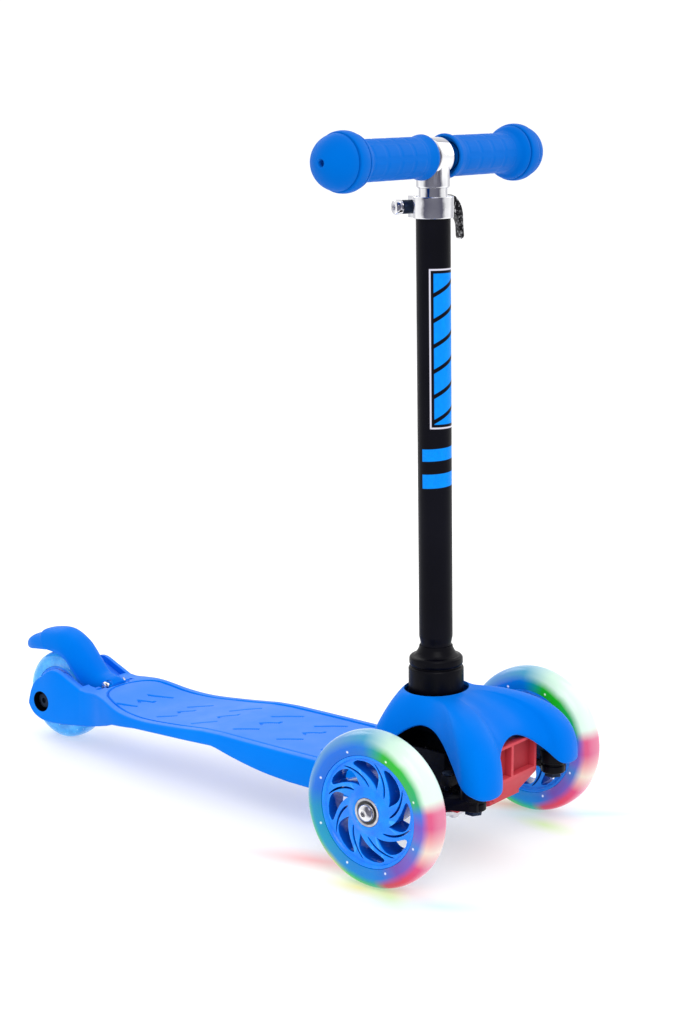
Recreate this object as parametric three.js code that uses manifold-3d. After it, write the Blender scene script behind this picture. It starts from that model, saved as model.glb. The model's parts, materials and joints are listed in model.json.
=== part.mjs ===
// Three-wheeled kick scooter for a small child, at real size in millimetres, +Z up.
// The rider faces -Y. The two front wheels steer when the handlebar column leans sideways.
// The origin ends up on the floor, under the middle of the whole scooter.
import * as THREE from 'three';
import { mergeVertices } from 'three/addons/utils/BufferGeometryUtils.js';
import Module from 'manifold-3d';

const wasm = await Module();
wasm.setup();

// ---- driving dimensions, measured from the floor under the front axle ----
const GAP = 0.3;                 // space left between touching pieces
const RUNNING = 0.1;             // radial play of a shaft in its hole

const FRONT_RADIUS = 60;
const WHEEL_WIDTH = 24;
const HALF_TRACK = 105.2;
const REAR_RADIUS = 40;
const REAR_AXLE_Y = 433.4;
const AXLE_RADIUS = 4;           // 8 mm axles in 608 ball bearings
const BEARING_RADIUS = 11;
const BEARING_WIDTH = 7;
const BEARING_OFFSET = 8;        // bearing centre from the wheel's mid-plane

const KINGPIN_X = 54;
const KINGPIN_Y = -52;
const STEER_ARM = 24;            // from kingpin back to the tie-rod pin
const TIE_ROD_Z = 74;
const LEAN_AXIS_Z = 104;
const LEAN_PIN_RADIUS = 3.5;

const COLUMN_Y = 19.85;          // where the column's axis meets the floor
const COLUMN_RAKE = 1.13;        // degrees, leaning back
const TUBE_RADIUS = 13;
const STEM_RADIUS = 10.8;
const HANDLE_TUBE_RADIUS = 11;
const HANDLE_Z = 530.5;
const CLAMP_Z = 493.7;
const CLAMP_HEIGHT = 16;
const CLAMP_YAW = 25;            // degrees the quick release is turned round the tube
const SKEWER_OFFSET = 18;        // skewer behind the tube's axis
const CAM_PIN_X = 21;
const CAM_RADIUS = 8.2;
const SKEWER_RADIUS = 3;
const SMALL_PIN_RADIUS = 2.5;     // brake hinge, cam and tie-rod pins

const DECK_TOP = 61;
const DECK_BOTTOM = 36.3;        // underside of the front pan
const PAN_FRONT = -2;            // front edge of the deck's pan, under the cover
const PLATE_THICKNESS = 3;
const FORK_INNER = 18.5;
const FORK_OUTER = 34;
const BRAKE_PIN_Y = 374;
const BRAKE_PIN_Z = 60.5;

const ROUND = 24;                // segments of a large round piece
const SMALL_ROUND = 12;
const WHEEL_ROUND = 28;

// ---- materials ----
const paint = (color, roughness,
  metalness = 0) => new THREE.MeshStandardMaterial({ color, roughness, metalness });
const bluePlastic = paint(0x0a78f0, 0.45);
const blueRubber = paint(0x0a6fe0, 0.6);
const blueCore = paint(0x0a66e8, 0.25);
const clearTyre = paint(0xcfe6ff, 0.15);
const rearTyre = paint(0x58b4ff, 0.2);
const redPlastic = paint(0xaa2333, 0.5);
const blackPlastic = paint(0x15161c, 0.5);
const blackPaint = paint(0x12121a, 0.35, 0.3);
const steel = paint(0xb8bac4, 0.35, 1);
const chrome = paint(0xe6e6ee, 0.12, 1);
const copper = paint(0xb06a35, 0.4, 0.8);

const scooter = new THREE.Group();
const column = new THREE.Group();
column.position.set(0, COLUMN_Y, 0);
column.rotation.x = -THREE.MathUtils.degToRad(COLUMN_RAKE);
scooter.add(column);

// ---- solids ----
function bare(geometry) {
  const copy = geometry.clone();
  copy.deleteAttribute('normal');
  copy.deleteAttribute('uv');
  return mergeVertices(copy, 1e-4);
}

function signedVolume(geometry) {
  const position = geometry.attributes.position;
  const index = geometry.index.array;
  const corner = [new THREE.Vector3(), new THREE.Vector3(), new THREE.Vector3()];
  let volume = 0;
  for (let i = 0; i < index.length; i += 3) {
    corner.forEach((point, k) => point.fromBufferAttribute(position, index[i + k]));
    volume += corner[0].dot(corner[1].clone().cross(corner[2])) / 6;
  }
  return volume;
}

// Merged, indexed copy of a closed geometry, with its faces turned outwards.
function closed(geometry) {
  const merged = bare(geometry);
  if (signedVolume(merged) < 0) {
    merged.setIndex(Array.from(merged.index.array).reverse());
  }
  return merged;
}

function toSolid(geometry) {
  const merged = closed(geometry);
  return new wasm.Manifold(new wasm.Mesh({
    numProp: 3,
    vertProperties: Float32Array.from(merged.attributes.position.array),
    triVerts: Uint32Array.from(merged.index.array),
  }));
}

function fromSolid(solid) {
  const mesh = solid.getMesh();
  const geometry = new THREE.BufferGeometry();
  geometry.setAttribute('position', new THREE.BufferAttribute(mesh.vertProperties, 3));
  geometry.setIndex(new THREE.BufferAttribute(mesh.triVerts, 1));
  return geometry;
}

const cut = (base, ...tools) => fromSolid(tools.reduce((solid, tool) => solid.subtract(toSolid(tool)),
  toSolid(base)));
const join = (base, ...extras) => fromSolid(extras.reduce((solid, extra) => solid.add(toSolid(extra)),
  toSolid(base)));
const common = (first, second) => fromSolid(toSolid(first).intersect(toSolid(second)));

// ---- shape helpers; a centre gives the two coordinates across the axis, in X, Y, Z order ----
const turnAxis = {
  x: (geometry) => geometry.rotateZ(-Math.PI / 2),
  y: (geometry) => geometry,
  z: (geometry) => geometry.rotateX(Math.PI / 2),
};

function rod(radius, from, to, axis, centre, segments = SMALL_ROUND) {
  const geometry = turnAxis[axis](new THREE.CylinderGeometry(radius, radius, to - from, segments));
  const [across, up] = centre;
  const along = (from + to) / 2;
  const place = { x: [along, across, up], y: [across, along, up], z: [across, up, along] }[axis];
  return geometry.translate(...place);
}

// Cutter for a round hole whose flats all clear a shaft by the running play.
function hole(shaft, from, to, axis, centre, play = RUNNING) {
  const segments = 16;
  return rod((shaft + play) / Math.cos(Math.PI / segments), from, to, axis, centre, segments);
}

const looseHole = (shaft, from, to, axis, centre) => hole(shaft, from, to, axis, centre, GAP);

// Lathe of a closed [radius, height] outline round an axis through the centre point.
function turned(profile, axis, centre = [0, 0, 0], segments = ROUND) {
  const outline = profile.map(([radius, height]) => new THREE.Vector2(radius, height));
  outline.push(outline[0].clone());
  return turnAxis[axis](new THREE.LatheGeometry(outline, segments)).translate(...centre);
}

function box(x, y, z) {
  const geometry = new THREE.BoxGeometry(x[1] - x[0], y[1] - y[0], z[1] - z[0]);
  return geometry.translate((x[0] + x[1]) / 2, (y[0] + y[1]) / 2, (z[0] + z[1]) / 2);
}

function shapeOf(points) {
  return new THREE.Shape(points.map(([u, v]) => new THREE.Vector2(u, v)));
}

const flatExtrude = (points, depth) => new THREE.ExtrudeGeometry(shapeOf(points),
  { depth, bevelEnabled: false });

// Outline in Y and Z, extruded along X.
function sidePlate(points, x) {
  const turnToSide = new THREE.Matrix4().set(0, 0, 1, x[0], 1, 0, 0, 0, 0, 1, 0, 0, 0, 0, 0, 1);
  return flatExtrude(points, x[1] - x[0]).applyMatrix4(turnToSide);
}

// Outline in X and Z, extruded along Y.
function frontPlate(points, y) {
  return flatExtrude(points, y[1] - y[0]).rotateX(Math.PI / 2).translate(0, y[1], 0);
}

// Outline in X and Y, extruded along Z.
function topPlate(points, z) {
  return flatExtrude(points, z[1] - z[0]).translate(0, 0, z[0]);
}

function smooth(points, steps) {
  const curve = new THREE.CatmullRomCurve3(points.map(([u, v]) => new THREE.Vector3(u, v, 0)),
    false, 'catmullrom', 0.5);
  return curve.getPoints(steps).map((point) => [point.x, point.y]);
}

const mirrored = (points) => [...points, ...points.map(([x, y]) => [-x, y]).reverse()];

// Closed solid over rings of points, with a flat cap at each end.
function skin(rings) {
  const count = rings[0].length;
  const index = [];
  for (let i = 0; i + 1 < rings.length; i += 1) {
    for (let k = 0; k < count; k += 1) {
      const [a, b] = [i * count + k, i * count + (k + 1) % count];
      index.push(a, b, b + count, a, b + count, a + count);
    }
  }
  const last = (rings.length - 1) * count;
  for (let k = 1; k + 1 < count; k += 1) {
    index.push(0, k + 1, k, last, last + k, last + k + 1);
  }
  const geometry = new THREE.BufferGeometry();
  geometry.setAttribute('position', new THREE.Float32BufferAttribute(rings.flat(2), 3));
  return geometry.setIndex(index);
}

// Round wire wound as a helix round an axis along X.
function coil(meanRadius, wireRadius, turns, x, centre) {
  class Helix extends THREE.Curve {
    getPoint(t, target = new THREE.Vector3()) {
      const angle = 2 * Math.PI * turns * t;
      return target.set(x[0] + (x[1] - x[0]) * t, centre[0] + meanRadius * Math.cos(angle),
        centre[1] + meanRadius * Math.sin(angle));
    }
  }
  const wire = new THREE.Shape().absarc(0, 0, wireRadius, 0, 2 * Math.PI);
  return new THREE.ExtrudeGeometry(wire, { steps: turns * 8, curveSegments: 2, extrudePath: new Helix() });
}

function add(name, geometry, material, parent = scooter) {
  const mesh = new THREE.Mesh(closed(geometry), material);
  mesh.name = name;
  parent.add(mesh);
}

const sides = [['left', -1], ['right', 1]];   // as seen by someone facing the scooter

// ---- deck: standing board, front pan and rear fork in one moulding ----
function deckSection() {
  const top = [[PAN_FRONT, 41.2], [56, 41.2], [57, DECK_TOP], [205, DECK_TOP],
    ...smooth([[225, 60], [262, 55.8], [298, 53], [326, 54.2], [350, 59.2], [364, 60.2], [378, 59.2]], 10),
    ...smooth([[386, 59.8], [401, 66], [415.5, 71.5], [426, 69.2], [435, 62.6], [441.4, 58], [445.4, 52],
      [448, 44.6], [449.4, 38.4]], 14)];
  const bottom = [...smooth([[449.4, 34.6], [446.6, 29.4], [441, 25], [430, 22.1], [412, 22.7], [392, 25.3],
    [372, 28.5], [345, 36.5]], 12),
    [336, 40], [305, 44], [277, 45.6], [249, 47], [214, 49],
    ...smooth([[208, 48.2], [186, 43.5], [158, 39], [128, 36.6]], 5), [110, DECK_BOTTOM],
      [PAN_FRONT, DECK_BOTTOM]];
  return [...top, ...bottom];
}

function deckOutline() {
  const half = [[36, PAN_FRONT], ...smooth([[38, 20], [47, 58], [51.5, 84], [53, 110], [53, 180],
    [51.5, 240], [48.5, 300], [45.5, 330],
    [39.5, 352], [35, 368], [FORK_OUTER, 385]], 18), [FORK_OUTER, 460]];
  return mirrored(half.map(([x, y]) => [-x, y]));
}

function deckPockets() {
  const pockets = [];
  const pitch = 27;
  const rib = 3;
  for (let i = 0; i < 7; i += 1) {
    const front = 148 + i * pitch;
    for (const side of [-1, 1]) {
      const reach = i < 5 ? 44 : 38;
      const x = side < 0 ? [-reach, -rib / 2] : [rib / 2, reach];
      pockets.push(box(x, [front, front + pitch - rib], [20, i < 3 ? 56.5 : 50 - (i > 4 ? 1 : 0)]));
    }
  }
  return pockets;
}

function deck() {
  const body = common(sidePlate(deckSection(), [-60, 60]), topPlate(deckOutline(), [0, 90]));
  const wheelSlot = box([-FORK_INNER, FORK_INNER], [380, 460], [0, 90]);
  const wheelArch = rod(REAR_RADIUS + 6, -FORK_INNER, FORK_INNER, 'x', [REAR_AXLE_Y, REAR_RADIUS]);
  const hingeRecess = box([-14.2, 14.2], [368.5, 381], [53, 90]);
  const armHollow = [[388, 54.5], [401, 60], [415.5, 65.5], [426, 63.2], [435, 56.6], [442, 50], [442, 95],
    [388, 95]];
  const armHollows = sides.map(([, s]) => sidePlate(armHollow, s < 0 ? [-28.5, -18] : [18, 28.5]));
  const axleHole = hole(AXLE_RADIUS, -60, 60, 'x', [REAR_AXLE_Y, REAR_RADIUS]);
  const counterbores = [rod(9, -60, -26, 'x', [REAR_AXLE_Y, REAR_RADIUS]),
    rod(9, 26, 60, 'x', [REAR_AXLE_Y, REAR_RADIUS])];
  const hinge = sides.map(([, s]) => join(
    rod(3.7, s < 0 ? -7.7 : 4.2, s < 0 ? -4.2 : 7.7, 'x', [BRAKE_PIN_Y, BRAKE_PIN_Z]),
    box(s < 0 ? [-7.7, -4.2] : [4.2, 7.7], [BRAKE_PIN_Y - 3.6, BRAKE_PIN_Y + 3.6], [50, BRAKE_PIN_Z])));
  const pinHole = hole(SMALL_PIN_RADIUS, -30, 30, 'x', [BRAKE_PIN_Y, BRAKE_PIN_Z]);
  const screwHoles = plateScrewPlaces.filter(([, y]) => y > 0).map(([x, y]) => looseHole(2, 30, 46, 'z',
    [x, y]));
  const rough = cut(body, wheelSlot, wheelArch, hingeRecess, ...armHollows, axleHole, ...counterbores,
    ...deckPockets(), ...screwHoles);
  return cut(join(rough, ...hinge), pinHole);
}

// ---- steel plate and screws under the front ----
const plateScrewPlaces = [[-18, -8.5], [18, -8.5], [-30, 70], [30, 70]];

function bottomPlate() {
  const half = [[20, -14], [33, -3], [38, 10], [38, 40], [36, 82], [28, 88]];
  const sheet = topPlate(mirrored(half.map(([x, y]) => [-x, y])),
    [DECK_BOTTOM - GAP - PLATE_THICKNESS, DECK_BOTTOM - GAP]);
  return cut(sheet, ...plateScrewPlaces.map(([x, y]) => looseHole(2, 20, 46, 'z', [x, y])));
}

function plateScrew(x, y) {
  const under = DECK_BOTTOM - PLATE_THICKNESS - 2 * GAP;
  const head = turned([[0, under - 2.6], [3, under - 2.6], [4, under - 1.6], [4, under], [0, under]],
    'z', [x, y, 0], SMALL_ROUND);
  return join(head, rod(2, under - 1, under + 8.5, 'z', [x, y]));
}

// ---- red cross-member between the kingpins ----
function frontBridge() {
  const shield = frontPlate(mirrored([[-12, 47], [-33, 62], [-33, 91], [-28, 93.4]]), [-50, -40]);
  const cavity = [[-30.5, -1.5], [1.5, 30.5]].map((x) => box(x, [-51, -44], [67, 91]));
  const lowerSlope = sidePlate([[-51, 30], [-51, 66], [-42.5, 46], [-42.5, 30]], [-40, 40]);
  const floor = box([-24, 24], [-16, PAN_FRONT - GAP], [DECK_BOTTOM, 41.2]);
  const web = sidePlate([[-43, 47], [-43, 58], [-38, 58], [-14, 41], [-14, DECK_BOTTOM],
    [-16, DECK_BOTTOM]], [-20, 20]);
  const holes = plateScrewPlaces.filter(([, y]) => y < 0).map(([x, y]) => looseHole(2, 30, 46, 'z',
    [x, y]));
  return cut(join(cut(shield, ...cavity, lowerSlope), floor, web), ...holes);
}

// ---- black housing of the lean mechanism ----
function steeringHousing() {
  const base = 41.5;
  const outer = box([-36, 36], [-12, 50], [base, 86]);
  const towers = [box([-17, 17], [-12, -7], [80, 110]), box([-9, 9], [45, 50], [80, 109])];
  const inside = box([-32.5, 32.5], [-7, 45], [base + 3, 120]);
  const window = box([-12, 12], [-20, 0], [60, 86]);
  const pin = hole(LEAN_PIN_RADIUS, -20, 60, 'y', [0, LEAN_AXIS_Z]);
  return cut(join(outer, ...towers), inside, window, pin);
}

// ---- front cover: domed shell with two arms that reach over the kingpins ----
const coverHole = { rx: 27.5, ry: 24, y: 22, z: 124.5 };
// Rim points of one half from the front centre to the back: x, y, z and the roundness of the dome above.
const coverRim = [[0, -50, 100, 1.6], [17, -52, 95, 1.7], [32, -60, 83, 2.1], [41, -69, 72, 2.4],
  [54, -71.5, 69.5, 2.5],
  [66.5, -66, 70.5, 2.4], [68.5, -52, 76, 2.2], [59, -36, 88, 2], [47, -18, 99, 1.7], [38.5, -1, 105, 1.45],
    [37, 15, 104, 1.35],
  [40.5, 33, 92, 1.4], [46, 50, 71, 1.4], [41.5, 62, 62.6, 1.35], [25, 68, 61.8, 1.3],
    [0, 70.5, 61.8, 1.25]];

function coverRimLoop(segments) {
  const whole = [...coverRim, ...coverRim.slice(1, -1).map(([x, y, z, p]) => [-x, y, z, p]).reverse()];
  const place = new THREE.CatmullRomCurve3(whole.map(([x, y, z]) => new THREE.Vector3(x, y, z)),
    true, 'catmullrom', 0.5);
  const roundness = new THREE.CatmullRomCurve3(whole.map((row) => new THREE.Vector3(row[3], 0, 0)),
    true, 'catmullrom', 0.5);
  return Array.from({ length: segments }, (unused, i) => ({ point: place.getPoint(i / segments),
    p: roundness.getPoint(i / segments).x }));
}

// Closed ring lathe whose rings are moved onto the dome: first the outer skin, then the inner one.
function coverShell() {
  const around = 52;
  const down = 6;
  const thickness = 2.6;
  const rim = coverRimLoop(around);
  const skins = 2 * (down + 1);
  const ring = Array.from({ length: skins },
    (unused, j) => new THREE.Vector2(j < skins / 2 ? 20 : 10, j < skins / 2 ? j : skins - 1 - j));
  ring.push(ring[0].clone());
  const geometry = new THREE.LatheGeometry(ring, around);
  const position = geometry.attributes.position;
  for (let i = 0; i <= around; i += 1) {
    const { point, p } = rim[i % around];
    const angle = Math.atan2(point.x, coverHole.y - point.y);
    for (let j = 0; j <= skins; j += 1) {
      const inner = j >= skins / 2 && j < skins;
      const step = j === skins ? 0 : (inner ? skins - 1 - j : j);
      const share = (step / down) * (Math.PI / 2);
      const reach = Math.sin(share) ** (2 / p);
      const height = step === down ? 0 : Math.cos(share) ** (2 / p);
      const hole = [coverHole.rx * Math.sin(angle), coverHole.y - coverHole.ry * Math.cos(angle)];
      const flat = [hole[0] + (point.x - hole[0]) * reach, hole[1] + (point.y - hole[1]) * reach];
      const inset = inner ? thickness : 0;
      const away = Math.hypot(flat[0], flat[1] - coverHole.y);
      const pull = 1 - (inset * reach) / away;
      position.setXYZ(i * (skins + 1) + j, flat[0] * pull, coverHole.y + (flat[1] - coverHole.y) * pull,
        point.z + (coverHole.z - point.z) * height - inset * height);
    }
  }
  return geometry;
}

function frontCover() {
  const bosses = sides.map(([, s]) => rod(8, 76, 98, 'z', [s * KINGPIN_X, KINGPIN_Y]));
  const bores = sides.map(([, s]) => looseHole(AXLE_RADIUS, 70, 90, 'z', [s * KINGPIN_X, KINGPIN_Y]));
  return cut(join(coverShell(), ...bosses), ...bores);
}

// ---- steering head that carries the column and rocks on the lean pin ----
function steeringHead() {
  const block = box([-15, 15], [-6, 44], [92, 115]);
  const leg = box([-7, 7], [6, 40], [60, 93]);
  const tongue = box([-4.5, 4.5], [-24, 8], [70, 80]);
  const tip = rod(4, -32.5, -20, 'y', [0, TIE_ROD_Z]);
  const bore = hole(LEAN_PIN_RADIUS, -20, 60, 'y', [0, LEAN_AXIS_Z]);
  const socket = rod(12.4, 108.5, 130, 'z', [0, COLUMN_Y + 2.1], ROUND);
  return cut(join(block, leg, tongue, tip), bore, socket);
}

function leanPin() {
  const head = rod(5.5, 50 + GAP, 53, 'y', [0, LEAN_AXIS_Z]);
  return join(head, rod(LEAN_PIN_RADIUS, -12, 52, 'y', [0, LEAN_AXIS_Z]));
}

// ---- tie rod and its pins ----
const tieRodY = KINGPIN_Y + STEER_ARM;

function tieRod() {
  const bar = box([-57.5, 57.5], [tieRodY - 4, tieRodY + 4], [TIE_ROD_Z - 4, TIE_ROD_Z + 4]);
  const yoke = box([-10, 10], [tieRodY - 4, tieRodY + 4], [TIE_ROD_Z - 8, TIE_ROD_Z + 9]);
  const slot = box([-4.4, 4.4], [tieRodY - 5, tieRodY + 5], [TIE_ROD_Z - 5.5, TIE_ROD_Z + 10]);
  const holes = sides.map(([, s]) => hole(SMALL_PIN_RADIUS, 60, 90, 'z', [s * KINGPIN_X, tieRodY]));
  return cut(join(bar, yoke), slot, ...holes);
}

function tieRodPin(side) {
  const x = side * KINGPIN_X;
  return join(rod(SMALL_PIN_RADIUS, 57, TIE_ROD_Z + 5, 'z', [x, tieRodY]),
    rod(4, TIE_ROD_Z + 4 + GAP, TIE_ROD_Z + 6.5, 'z', [x, tieRodY]));
}

// ---- knuckle: kingpin barrel, arm to the axle boss and lug for the tie rod ----
function knuckle(side) {
  const place = [side * KINGPIN_X, KINGPIN_Y, 0];
  const barrel = turned([[0, 57], [8.8, 57], [9.4, 57.6], [9.4, 62.5], [8.6, 63.2], [8.6, 64.6],
    [10.4, 65.4], [10.4, 75.4], [0, 75.4]], 'z', place, ROUND);
  const arm = topPlate([[50, -58], [60, -60], [70, -38], [85, -8], [87, 6], [78, 8], [72, -6], [60.5, -32],
    [48, -46]]
    .map(([x, y]) => [side * x, y]), [57.2, 66]);
  const boss = rod(9.5, side < 0 ? -93 : 77, side < 0 ? -77 : 93, 'x', [0, FRONT_RADIUS], ROUND);
  const lug = topPlate([[46, -30], [49, -35], [52, -50], [62, -50], [64, -30], [61, -23], [54, -20.5],
    [48, -23]]
    .map(([x, y]) => [side * x, y]), [59.5, 65.5]);
  const kingpinHole = hole(AXLE_RADIUS, 40, 80, 'z', [side * KINGPIN_X, KINGPIN_Y]);
  const axleHole = hole(AXLE_RADIUS, side < 0 ? -100 : 81, side < 0 ? -81 : 100, 'x', [0, FRONT_RADIUS]);
  const lugHole = rod(4, 50, 69.5, 'z', [side * KINGPIN_X, tieRodY]);
  return cut(join(barrel, arm, boss, lug), kingpinHole, axleHole, lugHole);
}

function kingpin(side) {
  const place = [side * KINGPIN_X, KINGPIN_Y];
  return join(rod(AXLE_RADIUS, 54, 88, 'z', place, ROUND), rod(7, 53.4, 56.7, 'z', place, 6));
}

// ---- wheels ----
function tyre(radius, inner, centre) {
  const half = WHEEL_WIDTH / 2;
  const profile = [[inner, -half + 0.6], [radius - 6, -half], [radius - 2.2, -half + 3.2],
    [radius - 0.4, -half + 8], [radius, 0],
    [radius - 0.4, half - 8], [radius - 2.2, half - 3.2], [radius - 6, half], [inner, half - 0.6]];
  return turned(profile, 'x', centre, WHEEL_ROUND);
}

function wheelCore(outer, rim, web, centre) {
  const bore = BEARING_RADIUS + RUNNING + 0.05;
  const inner = BEARING_OFFSET - BEARING_WIDTH / 2 - 0.1;
  const profile = [[bore, -11.6], [14, -11.6], [16, -web], [rim, 0.5 - web], [rim + 1, -10.5], [outer, -11],
    [outer, 11], [rim + 1, 10.5],
    [rim, web - 0.5], [16, web], [14, 11.6], [bore, 11.6], [bore, inner], [9.2, inner], [9.2, -inner],
      [bore, -inner]];
  return turned(profile, 'x', centre, WHEEL_ROUND);
}

// Front core: the web between hub and rim is pierced by a ring of swept tear-drop windows.
function frontCore(side) {
  const centre = [side * HALF_TRACK, 0, FRONT_RADIUS];
  const sweep = (radius) => THREE.MathUtils.degToRad(2 * (radius - 30));
  const edge = (radius, half) => [radius * Math.sin(sweep(radius)) + half,
    radius * Math.cos(sweep(radius))];
  const widths = [[20, 0.8], [25, 3.2], [30, 5.6], [35, 6.2], [38, 2.5]];
  const tear = [...widths.map(([r, half]) => edge(r, half)),
    ...widths.map(([r, half]) => edge(r, -half)).reverse()];
  const windows = Array.from({ length: 8 }, (unused, i) => sidePlate(tear.map(([u, v]) => [-side * u, v]),
    [-12, 12])
    .rotateX((i * Math.PI) / 4).translate(...centre));
  return cut(wheelCore(FRONT_RADIUS - 17, 39.4, 8, centre), ...windows);
}

function bearing(centre) {
  const half = BEARING_WIDTH / 2;
  const bore = AXLE_RADIUS + RUNNING;
  return turned([[bore, -half], [6.4, -half], [7.6, -half + 0.6], [9, -half], [BEARING_RADIUS, -half],
    [BEARING_RADIUS, half], [9, half], [7.6, half - 0.6], [6.4, half], [bore, half]], 'x', centre, 16);
}

function sleeve(inner, outer, length, centre) {
  return turned([[inner, -length / 2], [outer, -length / 2], [outer, length / 2], [inner, length / 2]],
    'x', centre, 16);
}

function frontWheel(name, side) {
  const centre = [side * HALF_TRACK, 0, FRONT_RADIUS];
  const between = 2 * BEARING_OFFSET - BEARING_WIDTH - 2 * GAP;
  add(`front_tyre_${name}`, tyre(FRONT_RADIUS, FRONT_RADIUS - 17 + GAP, centre), clearTyre);
  add(`front_core_${name}`, frontCore(side), blueCore);
  add(`front_bearing_outer_${name}`, bearing([centre[0] + side * BEARING_OFFSET, 0, FRONT_RADIUS]), steel);
  add(`front_bearing_inner_${name}`, bearing([centre[0] - side * BEARING_OFFSET, 0, FRONT_RADIUS]), steel);
  add(`light_coil_${name}`, sleeve(6.8, 8.9, between, centre), copper);
  add(`magnet_sleeve_${name}`, sleeve(AXLE_RADIUS + RUNNING, 6.3, between, centre), steel);
}

function frontAxle(side) {
  const tip = side * 82;
  const face = side * (HALF_TRACK + BEARING_OFFSET + BEARING_WIDTH / 2 + GAP);
  const shaft = rod(AXLE_RADIUS, Math.min(tip, face), Math.max(tip, face), 'x', [0, FRONT_RADIUS], ROUND);
  const head = turned([[0, 0], [6, 0], [6.6, 0.8], [6.4, 2.6], [5, 3.8], [0, 4.1]], 'x', [0, 0, 0], ROUND);
  if (side < 0) {
    head.rotateZ(Math.PI);
  }
  head.translate(face, 0, FRONT_RADIUS);
  const socket = rod(2.6, Math.min(face + side * 1.5, face + side * 6),
    Math.max(face + side * 1.5, face + side * 6), 'x', [0, FRONT_RADIUS], 6);
  return cut(join(shaft, head), socket);
}

// ---- rear wheel, axle and foot brake ----
function rearWheel() {
  const centre = [0, REAR_AXLE_Y, REAR_RADIUS];
  const core = REAR_RADIUS - 13;
  add('rear_tyre', tyre(REAR_RADIUS, core + GAP, centre), rearTyre);
  add('rear_core', wheelCore(core, core - 4, 5, centre), blueCore);
  sides.forEach(([name, s]) => add(`rear_bearing_${name}`,
    bearing([s * BEARING_OFFSET, REAR_AXLE_Y, REAR_RADIUS]), steel));
  add('rear_spacer', sleeve(AXLE_RADIUS + RUNNING, 6.3, 2 * BEARING_OFFSET - BEARING_WIDTH - 2 * GAP,
    centre), steel);
}

function rearAxle() {
  const place = [REAR_AXLE_Y, REAR_RADIUS];
  return cut(join(rod(AXLE_RADIUS, -27, 31, 'x', place, 16), rod(6.5, -30.5, -26 - GAP, 'x', place, 16)),
    rod(2.6, -33, -28, 'x', place, 6));
}

function rearAxleNut() {
  const place = [REAR_AXLE_Y, REAR_RADIUS];
  return cut(rod(6.6, 26 + GAP, 31.5, 'x', place, 6), hole(AXLE_RADIUS, 20, 40, 'x', place));
}

// Stations along the fender from its hinge to its tail: crown y, z, skirt edge y, z and half width.
const fenderStations = [[368.9, 62.2, 369.2, 57, 10.6], [373, 65.6, 374.4, 55, 11],
  [380, 66.8, 380, 54.2, 11.4],
  [387, 68.4, 386, 53.8, 12.4], [393, 73.4, 392.5, 53.6, 13.8], [402.5, 82.8, 400, 55.6, 15.6],
  [411, 90.2, 405, 62.6, 16.6], [418.6, 95.8, 411, 69.6, 17.2], [432, 100.8, 420, 78, 17.2],
  [445, 100, 431, 81.6, 17], [456.6, 97, 442, 82.4, 16.4], [459.4, 94, 446, 82, 16.2],
  [470.4, 89.8, 459, 80, 14], [477.4, 85.4, 469, 77.8, 10.6], [480.6, 81, 477, 76.8, 6.4]];

function brakeFender() {
  const section = Array.from({ length: 11 }, (unused, k) => ((k - 5) / 5) * (Math.PI / 2));
  const roundness = 2 / 2.6;
  const rings = fenderStations.map(([y, z, skirtY, skirtZ, half]) => section.map((angle) => {
    const out = Math.sign(angle) * Math.abs(Math.sin(angle)) ** roundness;
    const up = Math.max(0, Math.cos(angle)) ** roundness;
    return [half * out, skirtY + (y - skirtY) * up, skirtZ + (z - skirtZ) * up];
  }));
  const wheelWell = rod(REAR_RADIUS + 4.2, -12.6, 12.6, 'x', [REAR_AXLE_Y, REAR_RADIUS], 48);
  const hingeBay = box([-8.2, 8.2], [369.9, 380.5], [40, 64.8]);
  const pinHole = hole(SMALL_PIN_RADIUS, -30, 30, 'x', [BRAKE_PIN_Y, BRAKE_PIN_Z]);
  return cut(skin(rings), wheelWell, hingeBay, pinHole);
}

function brakePin() {
  const place = [BRAKE_PIN_Y, BRAKE_PIN_Z];
  return join(rod(SMALL_PIN_RADIUS, -12, 11.4, 'x', place), rod(3.7, -13.5, -11.3, 'x', place));
}

// ---- column: collar, lower tube, quick-release clamp ----
function baseCollar() {
  return turned([[12.35, 116], [21.5, 116], [21.5, 140.4], [20.6, 141.4], [19.6, 141.8], [19.6, 142.8],
    [20.7, 143.6], [20.9, 148.6],
    [19.6, 150.2], [17, 150.6], [15, 153], [13, 158], [12.35, 158]], 'z');
}

function lowerTube() {
  const bore = STEM_RADIUS + 0.3;
  return turned([[bore, 109], [12, 109], [12, 161], [TUBE_RADIUS, 165], [TUBE_RADIUS, 485], [13, 500.5],
    [bore, 500.5]], 'z', [0, 0, 0], ROUND);
}

const clampFrame = new THREE.Group();
clampFrame.rotation.z = -THREE.MathUtils.degToRad(CLAMP_YAW);
clampFrame.position.z = CLAMP_Z;
column.add(clampFrame);

function clampCollar() {
  const half = CLAMP_HEIGHT / 2;
  const ring = turned([[TUBE_RADIUS + GAP, -half], [15.2, -half], [15.4, -half + 0.6], [15.4, half - 0.6],
    [15.2, half], [TUBE_RADIUS + GAP, half]], 'z');
  const ears = box([-9, 9], [12, SKEWER_OFFSET + 6], [-half, half]);
  const bore = looseHole(TUBE_RADIUS, -20, 20, 'z', [0, 0]);
  const split = box([-1.2, 1.2], [8, 40], [-20, 20]);
  const skewerHole = hole(SKEWER_RADIUS, -20, 20, 'x', [SKEWER_OFFSET, 0]);
  return cut(join(ring, ears), bore, split, skewerHole);
}

function clampSkewer() {
  const eye = rod(4.5, SKEWER_OFFSET - 2.4, SKEWER_OFFSET + 2.4, 'y', [CAM_PIN_X, 0], 24);
  const pinHole = hole(SMALL_PIN_RADIUS, 0, 40, 'y', [CAM_PIN_X, 0]);
  return cut(join(rod(SKEWER_RADIUS, -22, 19, 'x', [SKEWER_OFFSET, 0]), eye), pinHole);
}

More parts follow.
